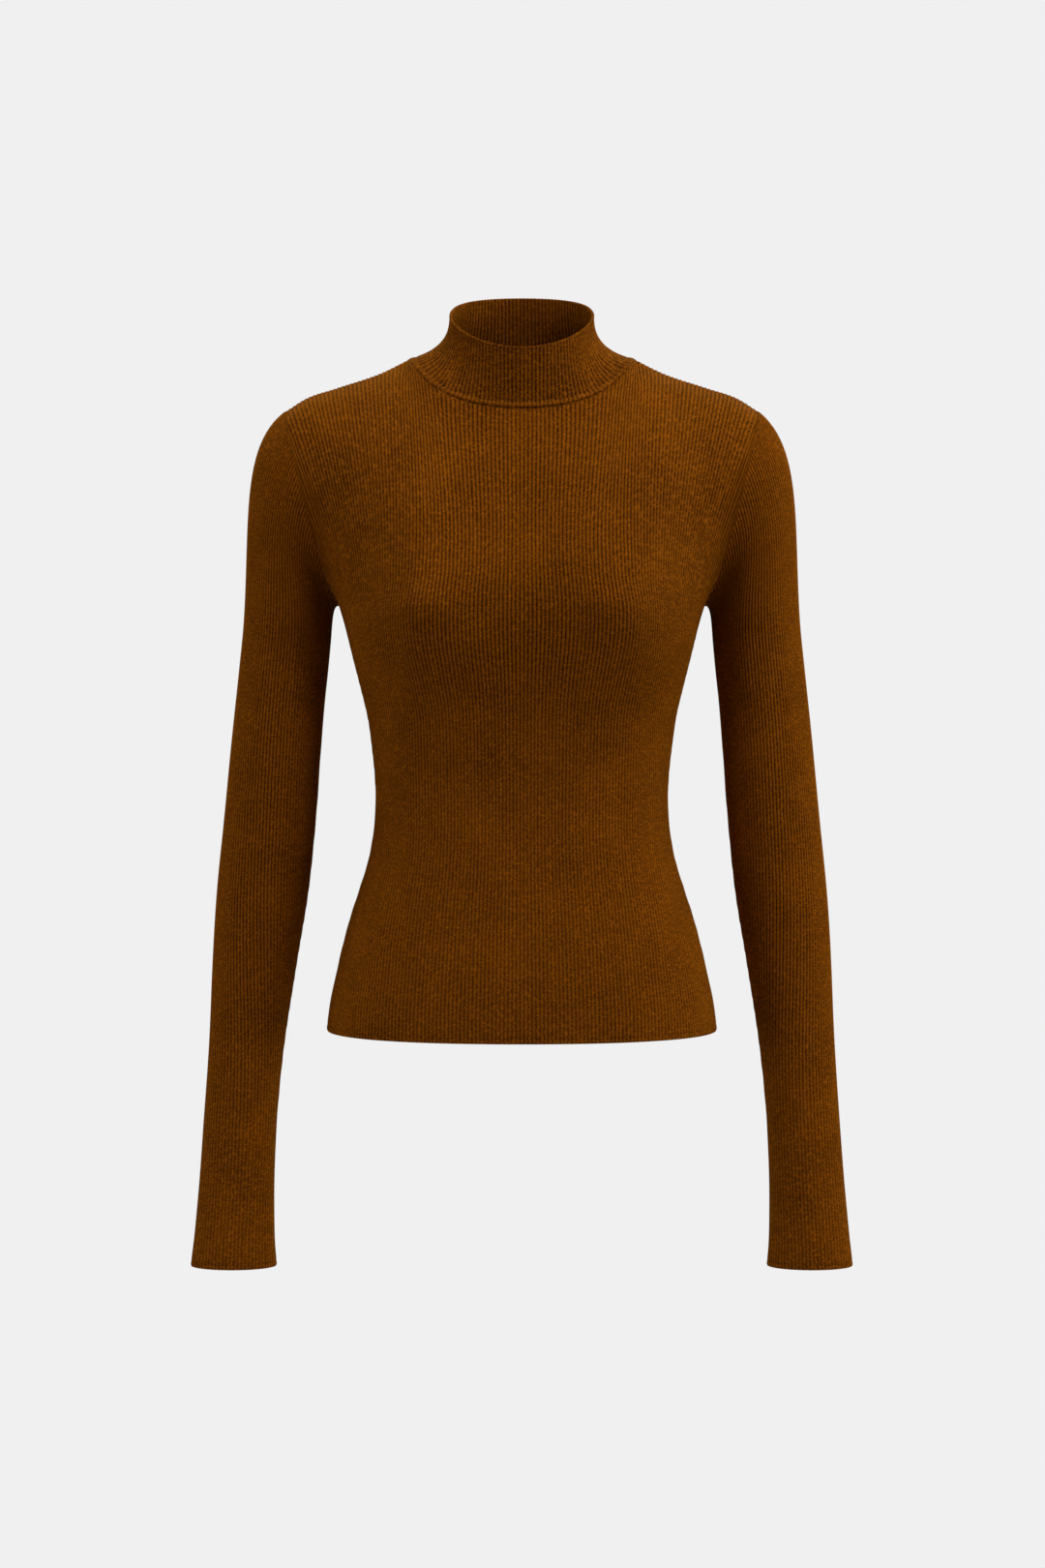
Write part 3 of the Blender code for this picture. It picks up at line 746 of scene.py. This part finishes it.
def rib_knit(name, dark, light, sheen):
    """The brown rib knit: painted light on the ribs, painted shade between them and in the seams, with
    stitches and fuzz.
    """
    material = bpy.data.materials.new(name)
    material.use_nodes = True
    tree = material.node_tree
    shader = tree.nodes["Principled BSDF"]
    shader.inputs["Roughness"].default_value = 0.92
    shader.inputs["Specular IOR Level"].default_value = 0.04
    shader.inputs["Sheen Weight"].default_value = sheen
    shader.inputs["Sheen Roughness"].default_value = 0.45
    shader.inputs["Sheen Tint"].default_value = (0.85, 0.36, 0.02, 1.0)
    stitches = tree.nodes.new("ShaderNodeUVMap")
    stitches.uv_map = "knit"
    marks = {}
    for label in ("ridge", "seam_shade", "inside"):
        marks[label] = tree.nodes.new("ShaderNodeAttribute")
        marks[label].attribute_name = label
    place = tree.nodes.new("ShaderNodeTexCoord")
    knit = tree.nodes.new("ShaderNodeGroup")
    knit.node_tree = loops
    yarn = tree.nodes.new("ShaderNodeGroup")
    yarn.node_tree = tone
    yarn.inputs["Dark"].default_value = dark
    yarn.inputs["Light"].default_value = light
    tree.links.new(stitches.outputs["UV"], knit.inputs["Stitches"])
    tree.links.new(place.outputs["Object"], yarn.inputs["Place"])
    within = marks["inside"].outputs["Fac"]
    # Painted light and shade mixed into the yarn's colour with its random flecks: the painted rib shade,
    # painted shade in the loop gaps, the painted crest highlight and the painted seam shade; on the inside,
    # painted light on the ribs and painted shade between them.
    painted_shade_and_fleck = sums(tree, "MULTIPLY_ADD", knit.outputs["Gap"], LOOP_GAP_SHADE, marks["ridge"].outputs["Fac"])
    painted_shade_and_fleck = sums(tree, "MULTIPLY_ADD", knit.outputs["Fleck"], FLECK_STRENGTH, painted_shade_and_fleck)
    painted_shade_and_fleck = sums(tree, "ADD", knit.outputs["Painted Crest Light"], painted_shade_and_fleck)
    painted_shade_and_fleck = sums(tree, "SUBTRACT", painted_shade_and_fleck, marks["seam_shade"].outputs["Fac"])
    hidden_rib = sums(tree, "MULTIPLY_ADD", knit.outputs["Inner Rib"], *INNER_RIB_PAINTED_SHADE)
    painted_shade_and_fleck = sums(tree, "MULTIPLY_ADD", hidden_rib, within, painted_shade_and_fleck)
    tree.links.new(painted_shade_and_fleck, yarn.inputs["Lift"])
    tree.links.new(yarn.outputs["Color"], shader.inputs["Base Color"])
    height = sums(tree, "MULTIPLY_ADD", yarn.outputs["Fuzz"], 0.5, knit.outputs["Height"])
    hidden_rib = sums(tree, "MULTIPLY", knit.outputs["Inner Rib"], within)
    height = sums(tree, "MULTIPLY_ADD", hidden_rib, 2.5, height)
    bump = tree.nodes.new("ShaderNodeBump")
    bump.inputs["Strength"].default_value = 0.55
    bump.inputs["Distance"].default_value = 0.00025
    tree.links.new(height, bump.inputs["Height"])
    tree.links.new(bump.outputs["Normal"], shader.inputs["Normal"])
    return material


# Dark and light ends of the yarn's colour. The heathered grain mixes between them, and so do the painted rib
# shade, the painted seam shade and the painted crest highlight.
YARN_DARK_AND_SHADED = (0.042, 0.0102, 0.0002, 1.0)
YARN_LIGHT_AND_HIGHLIGHT = (0.316, 0.0850, 0.0022, 1.0)
body_knit = rib_knit("body_rib_knit", YARN_DARK_AND_SHADED, YARN_LIGHT_AND_HIGHLIGHT, 0.35)

# Rows of points up a panel, counted in rows of its plain form: close together at the hem and at the top edge,
# where the edges are turned.
FORM_ROW = 24.0
hem_rows = np.array((0.0, 0.5, 1.1, 1.8, 2.5, 3.0, 3.5, 4.1, 5.2, 7.0, 10.0)) / FORM_ROW
body_rows = np.arange(13.6, 334.0, 4.2) / FORM_ROW
chest_rows = BODY_ROWS + np.arange(1, 26) / 5.0
top_rows = BODY_ROWS + CHEST_ROWS - np.array((0.76, 0.56, 0.4, 0.27, 0.17, 0.1, 0.05, 0.02, 0.0))
body_rows = body_rows[body_rows < BODY_ROWS]
panel_rows = np.concatenate((hem_rows, body_rows, (BODY_ROWS,), chest_rows, top_rows))
rib_place, rib_sunk = rib_columns(BODY_RIBS)
panel_share, panel_cut_off = run_off(rib_place[None] / along(RIBS_ACROSS, panel_rows / BODY_ROWS))

# Soft creases, in millimetres: first point, last point, width, height. They are drawn for the left side
# and a little differently for the right.
FRONT_CREASES = (
    ((128, -38, -196), (92, -84, -214), 7.0, 0.9),
    ((126, -40, -207), (98, -76, -232), 6.0, -0.8),
    ((-127, -38, -194), (-88, -86, -220), 7.5, 0.8),
    ((-124, -42, -210), (-100, -74, -240), 6.0, -0.7),
    ((104, -30, -300), (62, -68, -312), 9.0, 0.6),
    ((105, -28, -318), (70, -64, -336), 8.0, -0.6),
    ((-104, -30, -306), (-66, -66, -322), 9.0, 0.5),
    ((-106, -28, -328), (-60, -70, -340), 9.0, -0.6),
    ((152, -30, -92), (128, -62, -132), 8.0, -0.7),
    ((-150, -32, -96), (-126, -64, -138), 8.0, -0.6),
    ((118, -60, -400), (70, -88, -430), 14.0, 0.5),
    ((-112, -62, -396), (-60, -90, -440), 14.0, 0.4),
)
BACK_CREASES = (
    ((128, 40, -196), (86, 80, -222), 8.0, 0.9),
    ((124, 44, -212), (80, 78, -246), 8.0, -0.7),
    ((-127, 40, -200), (-90, 78, -216), 8.0, 0.8),
    ((-122, 46, -216), (-84, 76, -252), 8.0, -0.8),
    ((98, 30, -306), (20, 62, -322), 9.0, 0.9),
    ((-98, 30, -300), (-12, 62, -308), 9.0, 0.8),
    ((90, 36, -330), (-20, 62, -342), 8.0, -0.8),
    ((-88, 36, -346), (-10, 64, -352), 9.0, 0.7),
    ((150, 40, -90), (120, 70, -130), 9.0, -0.7),
    ((-148, 42, -94), (-122, 70, -126), 9.0, -0.7),
)

# Painted tone of a rib, how much painted shade darkens its groove, and over what width an open edge is
# turned.
RIB_TONE = 0.87
GROOVE_SHADE = 0.55
EDGE_TURN = 0.8

# How the cloth changes beside its edges and seams, in millimetres. "ribs" and "creases" say where those come
# in: line, distance from it, width, least share. "rises" raise or sink the surface, and "shades" paint shade
# into the yarn's colour along the seam grooves, and a painted highlight where the amount is negative: line,
# distance, width, amount. Between the two heights of "slack" the cloth gets less stretched and its ribs
# flatter, and the painted tone of its ribs darker by "darker". "plain_tone" is the painted tone where the
# ribs fade out. "swells" make it uneven: two for the depth of the ribs, the third for the wall. "top" is the
# nearest of the neck, the armhole and the shoulder.
PANEL_CLOTH = {
    "ribs": (
        ("side", 0.0, 2.0, 0.0),
        ("hem", 0.0, 1.5, 0.15),
        ("neck", 0.4, 1.2, 0.0),
        ("shoulder", 0.3, 1.2, 0.0),
        ("armhole", 0.6, 1.0, 0.0),
    ),
    "creases": (("top", 0.0, 12.0, 0.0), ("side", 0.0, 12.0, 0.0), ("hem", 0.0, 10.0, 0.2)),
    "rises": (
        ("neck", 0.0, 0.8, -0.40),
        ("armhole", 0.0, 0.5, -0.12),
        ("armhole", 1.4, 0.8, 0.10),
        ("shoulder", 0.0, 0.8, -0.60),
        ("shoulder", 1.9, 1.0, 0.35),
        ("side", 0.0, 0.8, -0.60),
        ("side", 1.8, 1.0, 0.25),
        ("hem", 0.0, 0.6, -0.50),
        ("hem", 3.6, 0.7, -0.16),
    ),
    "shades": (
        ("armhole", 0.0, 0.6, 0.02),
        ("armhole", 1.8, 1.4, -0.06),
        ("shoulder", 0.0, 0.9, 0.30),
        ("side", 0.0, 0.9, 0.35),
        ("hem", 3.6, 0.8, 0.12),
    ),
    "open_edges": ("neck", "armhole", "hem"),
    "plain_tone": 0.66,
    "slack": (-205.0, -285.0),
    "flatter": 0.35,
    "darker": 0.04,
    "swells": (((26, 40), 0.10), ((60, 300), 0.06), ((9, 10), 0.35)),
}

# The shade of the neck seam falls off from the middle to this far out. Above the underarm there is no side
# seam, so every point there counts as at least this far from it.
NECK_SHADE = (0.30, 0.06)
NECK_SHADE_OUT = 75.0
NO_SIDE_SEAM = 9.0


def cloth_layers(surface, outward, gaps, sunk, marks, seed, cloth):
    """Outside and inside of the ribbed cloth over its plain form, its painted rib shade and painted seam
    shade.
    """
    fade = coming_in(gaps, cloth["ribs"])
    (broad, broad_share), (fine, fine_share), (wide, wide_height) = cloth["swells"]
    uneven = 1.0 + broad_share * soft_noise(fade.shape, broad, seed)
    uneven += fine_share * soft_noise(fade.shape, fine, seed + 1)
    slack = np.interp(surface[..., 2], cloth["slack"][::-1], (1.0, 0.0))
    sunk = sunk[None] * (1.0 - cloth["flatter"] * slack)
    relief = -RIB_DEPTH * sunk * fade * uneven + beside(gaps, cloth["rises"])
    slow = creases(surface, marks) + wide_height * soft_noise(fade.shape, wide, seed + 2)
    slow = slow * coming_in(gaps, cloth["creases"])
    outside = surface + outward * (relief + slow)[..., None]
    edge = np.maximum.reduce([hump(gaps[line], 0.0, EDGE_TURN) for line in cloth["open_edges"]])
    inside = surface + outward * (slow - WALL + edge / 2)[..., None]
    # Painted shade: the rib grooves are painted darker than the crests, and lower down, below the slack
    # heights, the ribs are painted darker still.
    ridge = (RIB_TONE - GROOVE_SHADE * sunk - cloth["darker"] * slack) * fade
    ridge = ridge + cloth["plain_tone"] * (1.0 - fade)
    return outside, inside, ridge, beside(gaps, cloth["shades"])


def stitch_rows(surface):
    """Courses of stitches up a piece, counted along its middle."""
    middle = surface.shape[1] // 2
    return np.broadcast_to(walked(surface, 0)[:, middle:middle + 1] / COURSE, surface.shape[:2])


def rib_panel(name, node, facing, marks, seed):
    form, normal = panel_form(facing)
    place = HALF_COLUMNS * (1 + panel_share)
    surface = read_across(read_down(form, panel_rows), place, closed=False)
    outward = unit(read_across(read_down(normal, panel_rows), place, closed=False))
    exact, exact_normal, _ = panel_top(np.abs(panel_share[-1]), facing)
    side = np.where(panel_share[-1] < 0, -1.0, 1.0)[:, None] * (1.0, 0.0, 0.0) + (0.0, 1.0, 1.0)
    weight = np.clip(panel_rows - (BODY_ROWS + CHEST_ROWS - 1), 0.0, 1.0)[:, None, None]
    surface = surface + weight * (exact * side - surface[-1])
    outward = unit(outward + weight * (exact_normal * side - outward[-1]))

    chest = panel_rows > BODY_ROWS - 2
    folded = surface[chest] * 1.0
    folded[..., 0] = np.abs(folded[..., 0])
    turn = np.linspace(0.0, math.pi / 2, 240)
    gaps = {}
    for label, line in (
        ("neck", neck_seam(turn if facing < 0 else math.pi - turn)),
        ("armhole", armhole_seam(np.linspace(0.0, math.pi, 340) * -facing)),
        ("shoulder", shoulder_seam(np.linspace(0.0, 1.0, 200))),
    ):
        gaps[label] = np.full(surface.shape[:2], math.inf)
        gaps[label][chest] = distance_to(folded, line)
    gaps["top"] = np.minimum.reduce(list(gaps.values()))
    across = walked(surface, 1)
    gaps["side"] = np.minimum(across, across[:, -1:] - across)
    clear = np.where(surface[chest][..., 2] > UNDERARM, NO_SIDE_SEAM, 0.0)
    gaps["side"][chest] = np.maximum(gaps["side"][chest], clear)
    gaps["hem"] = surface[..., 2] - HEM + HEM_DIP * (1.0 - panel_share**2)

    outside, inside, ridge, dark = cloth_layers(surface, outward, gaps, rib_sunk, marks, seed, PANEL_CLOTH)
    # Painted shade along the neck seam, strongest at the centre front under the collar and weaker towards the
    # sides.
    neck_shade = np.interp(np.abs(surface[..., 0]), (0.0, NECK_SHADE_OUT), NECK_SHADE)
    dark = neck_shade * hump(gaps["neck"], 0.0, 0.9) + dark
    wales, courses = np.broadcast_to(rib_place, dark.shape), stitch_rows(surface)
    piece = knit_piece(name, outside, inside, ridge, dark, wales, courses, panel_cut_off, False, body_knit)
    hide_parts(node)
    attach(piece, "root")


rib_panel("front_rib_panel", "front_panel", -1, FRONT_CREASES, 11)
rib_panel("back_rib_panel", "back_panel", 1, BACK_CREASES, 23)


# Sleeves. Each is one tube of the same rib knit, set into the armhole and seamed under the arm, snug along
# the arm and flaring a little at its plain cuff. Its cap ribs fan down and outwards from the shoulder.
SLEEVE = np.array((
    # height, centre_out, half_width, centre_back, half_depth
    (-205, 170.5, 32.0, 7.0, 44.0),
    (-265, 176.8, 32.4, 7.5, 42.5),
    (-335, 183.0, 33.3, 8.0, 40.5),
    (-384, 188.0, 33.2, 7.0, 38.0),
    (-440, 194.2, 30.4, 3.0, 33.5),
    (-496, 199.5, 27.3, -3.0, 29.0),
    (-552, 203.9, 26.4, -8.5, 26.0),
    (-608, 206.9, 27.7, -13.0, 24.5),
    (-640, 208.0, 29.6, -15.5, 24.5),
    (-654, 208.3, 31.2, -16.5, 24.5),
))
CAP_LEAVING = (12.0, 138.0)
CAP_ARRIVING = (30.0, 200.0)
CAP_FAN = 0.5
CAP_STRAIGHTNESS = 4.0
SLEEVE_COLUMNS = 96
SLEEVE_RIBS = 50
SLEEVE_RIBS_ACROSS = np.array((
    # height, ribs round half the arm
    (-654, 32.0),
    (-600, 31.5),
    (-552, 32.0),
    (-496, 34.5),
    (-440, 39.5),
    (-384, 44.5),
    (-335, 47.0),
    (-265, 49.0),
    (-205, 50.0),
))
ELBOW_CREASES = (
    ((184, -32, -286), (206, -24, -304), 4.5, -0.9),
    ((178, -33, -300), (204, -26, -322), 5.0, 0.8),
    ((176, -33, -314), (200, -29, -338), 4.5, -0.9),
    ((172, -31, -332), (198, -30, -352), 5.0, 0.7),
    ((166, -26, -352), (192, -31, -366), 5.5, -0.8),
    ((164, -24, -372), (190, -30, -384), 6.0, 0.5),
    ((162, 30, -300), (196, 44, -318), 8.0, 0.8),
    ((160, 26, -330), (190, 46, -344), 8.0, -0.8),
    ((150, -14, -214), (166, -34, -236), 7.0, 0.8),
    ((146, -8, -226), (160, -32, -254), 6.0, -0.7),
    ((150, 24, -214), (168, 42, -240), 7.0, 0.7),
    ((184, -22, -590), (210, -34, -600), 6.0, -0.4),
    ((182, -20, -560), (206, -32, -572), 7.0, 0.4),
)

# The sleeve's cloth, with the same keys: its "shades" are painted shade along the seams and the start of the
# cuff, and its painted rib tone gets darker towards the cuff.
SLEEVE_CLOTH = {
    "ribs": (("underarm", 0.0, 1.8, 0.0), ("cuff", 0.0, 1.5, 0.15), ("armhole", 0.4, 1.6, 0.0)),
    "creases": (("armhole", 0.0, 12.0, 0.0), ("underarm", 0.0, 10.0, 0.0), ("cuff", 0.0, 10.0, 0.1)),
    "rises": (
        ("armhole", 0.0, 0.5, -0.12),
        ("underarm", 0.0, 0.8, -0.55),
        ("underarm", 1.7, 0.9, 0.20),
        ("cuff", 0.0, 0.6, -0.50),
        ("cuff", 3.6, 0.7, -0.16),
    ),
    "shades": (("armhole", 0.0, 0.6, 0.04), ("underarm", 0.0, 0.9, 0.30), ("cuff", 3.6, 0.8, 0.12)),
    "open_edges": ("cuff", "armhole"),
    "plain_tone": 0.60,
    "slack": (-440.0, -580.0),
    "flatter": 0.5,
    "darker": 0.12,
    "swells": (((30, 26), 0.10), ((70, 200), 0.06), ((14, 6), 0.30)),
}

cap_steps = np.concatenate(((0.0, 0.004, 0.010, 0.018, 0.028, 0.042, 0.06), np.linspace(0.085, 1.0, 28)))
cuff_heights = (-641.0, -644.0, -646.5, -648.5, -649.7, -650.4, -651.1, -652.0, -652.8, -653.5, -654.0)
arm_heights = np.concatenate((np.arange(-209.0, -640.0, -4.2), cuff_heights))
sleeve_share = np.arange(SLEEVE_COLUMNS) / SLEEVE_COLUMNS


def sleeve_section(height):
    centre_out, half_width, centre_back, half_depth = along(SLEEVE, height)

    def ring(angle):
        out = centre_out - half_width * np.cos(angle)
        return points(out, centre_back - half_depth * np.sin(angle), height)

    return ring(evenly(ring, 0.0, 2 * math.pi, sleeve_share))


def sleeve_form():
    """Plain form of the left sleeve from the armhole down to the cuff, and its outward directions."""
    turn = evenly(armhole_seam, 0.0, 2 * math.pi, sleeve_share)
    leaving = sleeve_leaving(turn)
    start = armhole_seam(turn) + leaving * (SEAM_GAP / 2)
    high = ((1 - np.cos(turn)) / 2)[:, None]
    below = sleeve_section(SLEEVE[0, 0])
    down = unit(sleeve_section(SLEEVE[0, 0] - 1.0) - below)
    first = leaving * (CAP_LEAVING[0] + (CAP_LEAVING[1] - CAP_LEAVING[0]) * high)
    last = down * (CAP_ARRIVING[0] + (CAP_ARRIVING[1] - CAP_ARRIVING[0]) * high)
    rows = [bridge(start, first, below, last, t) for t in cap_steps]
    rows += [sleeve_section(height) for height in arm_heights]
    form = np.array(rows)
    normal = -grid_normals(form, closed=True)
    normal[0] = -seam_normal(armhole_seam, turn, leaving)
    return form, normal


sleeve_knit = rib_knit("sleeve_rib_knit", YARN_DARK_AND_SHADED, YARN_LIGHT_AND_HIGHLIGHT, 0.35)
sleeve_plain, sleeve_outward = sleeve_form()
arm_place, arm_sunk = rib_columns(SLEEVE_RIBS)


def rib_sleeve(name, node, side, seed, marks):
    heights = np.concatenate((np.full(len(cap_steps), SLEEVE[0, 0]), arm_heights))
    share, cut_off = run_off(arm_place[None] / along(SLEEVE_RIBS_ACROSS, heights))
    fanned = np.concatenate((CAP_FAN * (1.0 - cap_steps) ** CAP_STRAIGHTNESS, np.zeros(len(arm_heights))))
    share = share * (1.0 - fanned[:, None] * (1.0 - np.abs(share)))
    place = SLEEVE_COLUMNS / 2 * (1 + share)
    surface = read_across(sleeve_plain, place, closed=True)
    outward = unit(read_across(sleeve_outward, place, closed=True))

    gaps = {"armhole": walked(surface, 0), "cuff": surface[..., 2] - SLEEVE[-1, 0]}
    cap = np.arange(len(surface)) < len(cap_steps)
    gaps["armhole"][cap] = distance_to(surface[cap], surface[0, ::2])
    across = walked(surface, 1)
    gaps["underarm"] = np.minimum(across, across[:, -1:] - across)
    outside, inside, ridge, dark = cloth_layers(surface, outward, gaps, arm_sunk, marks, seed, SLEEVE_CLOTH)
    wales, courses = np.broadcast_to(arm_place, dark.shape), stitch_rows(surface)
    mirror = np.array((side, 1.0, 1.0))
    piece = knit_piece(
        name, outside * mirror, inside * mirror, ridge, dark, wales, -courses, cut_off, True, sleeve_knit
    )
    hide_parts(node)
    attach(piece, "root")


rib_sleeve("left_rib_sleeve", "sleeve_left", 1.0, 31, ELBOW_CREASES)
rib_sleeve("right_rib_sleeve", "sleeve_right", -1.0, 47, [
    (np.add(first, (0, 0, -9)), np.add(last, (0, 0, -4)), width * 1.1, height * 0.75)
    for first, last, width, height in ELBOW_CREASES
])


# Collar. A short stand of rib knit, doubled and folded at its top, with a soft rolled lip where it is
# linked to the neck. Its ribs stand upright in front and fan out round the sides.
RIM_HALF_WIDTH = 52.0
RIM_MIDDLE = -6.0
RIM_DEPTH = 56.0
RIM_HEIGHT = 31.5
RIM_TILT = 21.0
RIM_SADDLE = 5.6
RIM_ARRIVING = (-1.0, 36.0)
COLLAR_RIBS = 31
COLLAR_COLUMNS = 124
COLLAR_RIB_DEPTH = 0.84
# The collar's painted rib tone: a lighter crest and a groove darkened by painted shade, and a middle and a
# plain tone below the body's, which paints shade over the whole collar.
COLLAR_RIB_TONE = 0.14
COLLAR_GROOVE_SHADE = 0.42
COLLAR_MIDDLE_TONE = 0.56
COLLAR_PLAIN_TONE = 0.50

# Over the first millimetres above the neck the ribs come in, later at the sides, where they spread and get
# flatter. The lip is rolled out in front: its height, distance from the neck, width, and its share behind.
COLLAR_RIBS_IN = 1.5
COLLAR_RIBS_IN_AT_SIDE = 6.5
COLLAR_SPREAD = 0.6
COLLAR_SPREAD_HEIGHT = 20.0
LIP_HEIGHT = 0.75
LIP_OUT = 2.2
LIP_WIDTH = 1.6
LIP_BEHIND = 0.25
# Painted highlight: the rolled lip is painted lighter by this much.
LIP_PAINTED_HIGHLIGHT = 0.25

# Beside the neck seam and the rim, in millimetres: line, distance from it, width, and how far the surface
# rises, how much painted shade darkens the yarn's colour, or how much thinner the wall.
COLLAR_RISES = (
    ("neck", 0.0, 0.6, -0.50),
    ("neck", 5.6, 0.9, -0.35),
    ("rim", 0.0, 0.45, -0.60),
    ("rim", 1.0, 0.7, 0.15),
)
COLLAR_SHADES = (("neck", 0.0, 0.8, 0.30), ("neck", 5.4, 1.0, 0.18))
COLLAR_THINNER = (("rim", 0.0, 0.45, 0.6), ("neck", 0.0, 0.8, 0.4))
COLLAR_SWELLS = (3, 14)
COLLAR_SWELL_HEIGHT = 0.25
COLLAR_SEED = 61
collar_steps = np.concatenate((
    np.array((0.0, 0.5, 1.0, 1.6, 2.2, 2.8, 3.4, 4.0, 4.7, 5.5, 7.0)) / 48.0,
    np.linspace(0.19, 0.93, 17),
    (0.95, 0.965, 0.977, 0.986, 0.993, 0.998, 1.0),
))


def collar_rim(turn):
    ahead = np.cos(turn)
    return points(
        RIM_HALF_WIDTH * np.sin(turn),
        RIM_MIDDLE - RIM_DEPTH * ahead,
        RIM_HEIGHT - RIM_TILT * ahead - RIM_SADDLE * ahead**2,
    )


quarter = neck_turn(np.linspace(0.0, 1.0, COLLAR_COLUMNS // 4 + 1))
half_turns = np.concatenate((quarter, math.pi - quarter[-2::-1]))
neck_turns = np.concatenate((half_turns[:-1], 2 * math.pi - half_turns[:0:-1]))
leaving = collar_leaving(neck_turns)
neck_points = neck_seam(np.where(neck_turns > math.pi, 2 * math.pi - neck_turns, neck_turns))
neck_points[:, 0] *= np.where(neck_turns > math.pi, -1, 1)
neck_points += unit(leaving) * SEAM_GAP / 2
rim_points = collar_rim(evenly(collar_rim, 0.0, 2 * math.pi, np.arange(COLLAR_COLUMNS) / COLLAR_COLUMNS))
rim_arriving = points(0.0, RIM_ARRIVING[0] * np.cos(neck_turns), RIM_ARRIVING[1])
collar_plain = np.array([bridge(neck_points, leaving, rim_points, rim_arriving, t) for t in collar_steps])
collar_outward = grid_normals(collar_plain, closed=True)
half_normal = seam_normal(neck_seam, half_turns, collar_leaving(half_turns))
collar_outward[0] = np.concatenate((half_normal[:-1], (half_normal * (-1, 1, 1))[:0:-1]))

collar_place = np.concatenate(([0.0], [k + part for k in range(4 * COLLAR_RIBS) for part, _ in RIB_POINTS]))
collar_sunk = np.concatenate(([0.0], [sunk for _ in range(4 * COLLAR_RIBS) for _, sunk in RIB_POINTS]))
place = np.tile(collar_place * COLLAR_COLUMNS / (4 * COLLAR_RIBS), (len(collar_steps), 1))
surface = read_across(collar_plain, place, closed=True)
outward = unit(read_across(collar_outward, place, closed=True))
to_neck = walked(surface, 0)
gaps = {"neck": to_neck, "rim": to_neck[-1:] - to_neck}
ahead = -unit(surface[0] * (1.0, 1.0, 0.0))[:, 1]
sideways = 1.0 - np.abs(ahead)
ribs_in = COLLAR_RIBS_IN + (COLLAR_RIBS_IN_AT_SIDE - COLLAR_RIBS_IN) * sideways
fade = coming_in(gaps, (("neck", 0.0, ribs_in, 0.0), ("rim", 0.7, 1.2, 0.0)))
lip = LIP_BEHIND + (1.0 - LIP_BEHIND) * np.clip(ahead, 0.0, 1.0) ** 0.7
lip = lip * hump(to_neck, LIP_OUT, LIP_WIDTH)
sunk = np.broadcast_to(collar_sunk, fade.shape)
firm = 1.0 - COLLAR_SPREAD * sideways * hump(to_neck, 0.0, COLLAR_SPREAD_HEIGHT)
relief = -COLLAR_RIB_DEPTH * sunk * fade * firm * (1.0 - 0.2 * lip) + LIP_HEIGHT * lip
calm = coming_in(gaps, (("neck", 0.0, 8.0, 0.0), ("rim", 0.0, 8.0, 0.0)))
swells = COLLAR_SWELL_HEIGHT * soft_noise(fade.shape, COLLAR_SWELLS, COLLAR_SEED)
relief = relief + beside(gaps, COLLAR_RISES) + swells * calm
outside = surface + outward * relief[..., None]
thickness = WALL - 0.5 * sunk * fade - beside(gaps, COLLAR_THINNER)
inside = surface - outward * thickness[..., None]
# Painted shade: the collar's grooves are painted darker and the whole collar a little darker than the body;
# along the neck seam a painted shade that is weaker at the sides, and a painted highlight on the lip.
ridge = (COLLAR_MIDDLE_TONE + (COLLAR_RIB_TONE - COLLAR_GROOVE_SHADE * sunk) * firm) * fade
ridge = ridge + COLLAR_PLAIN_TONE * (1.0 - fade)
dark = beside(gaps, COLLAR_SHADES) * (1.0 - 0.75 * sideways) - LIP_PAINTED_HIGHLIGHT * lip
courses = to_neck / COURSE
wales = np.broadcast_to(collar_place, fade.shape)
collar_knit = rib_knit("collar_rib_knit", YARN_DARK_AND_SHADED, YARN_LIGHT_AND_HIGHLIGHT, 0.35)
collar_piece = knit_piece(
    "rib_collar", outside, inside, ridge, dark, wales, courses,
    np.zeros(fade.shape, int), True, collar_knit, every=(1, 1),
)
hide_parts("mock_neck")
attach(collar_piece, "root")
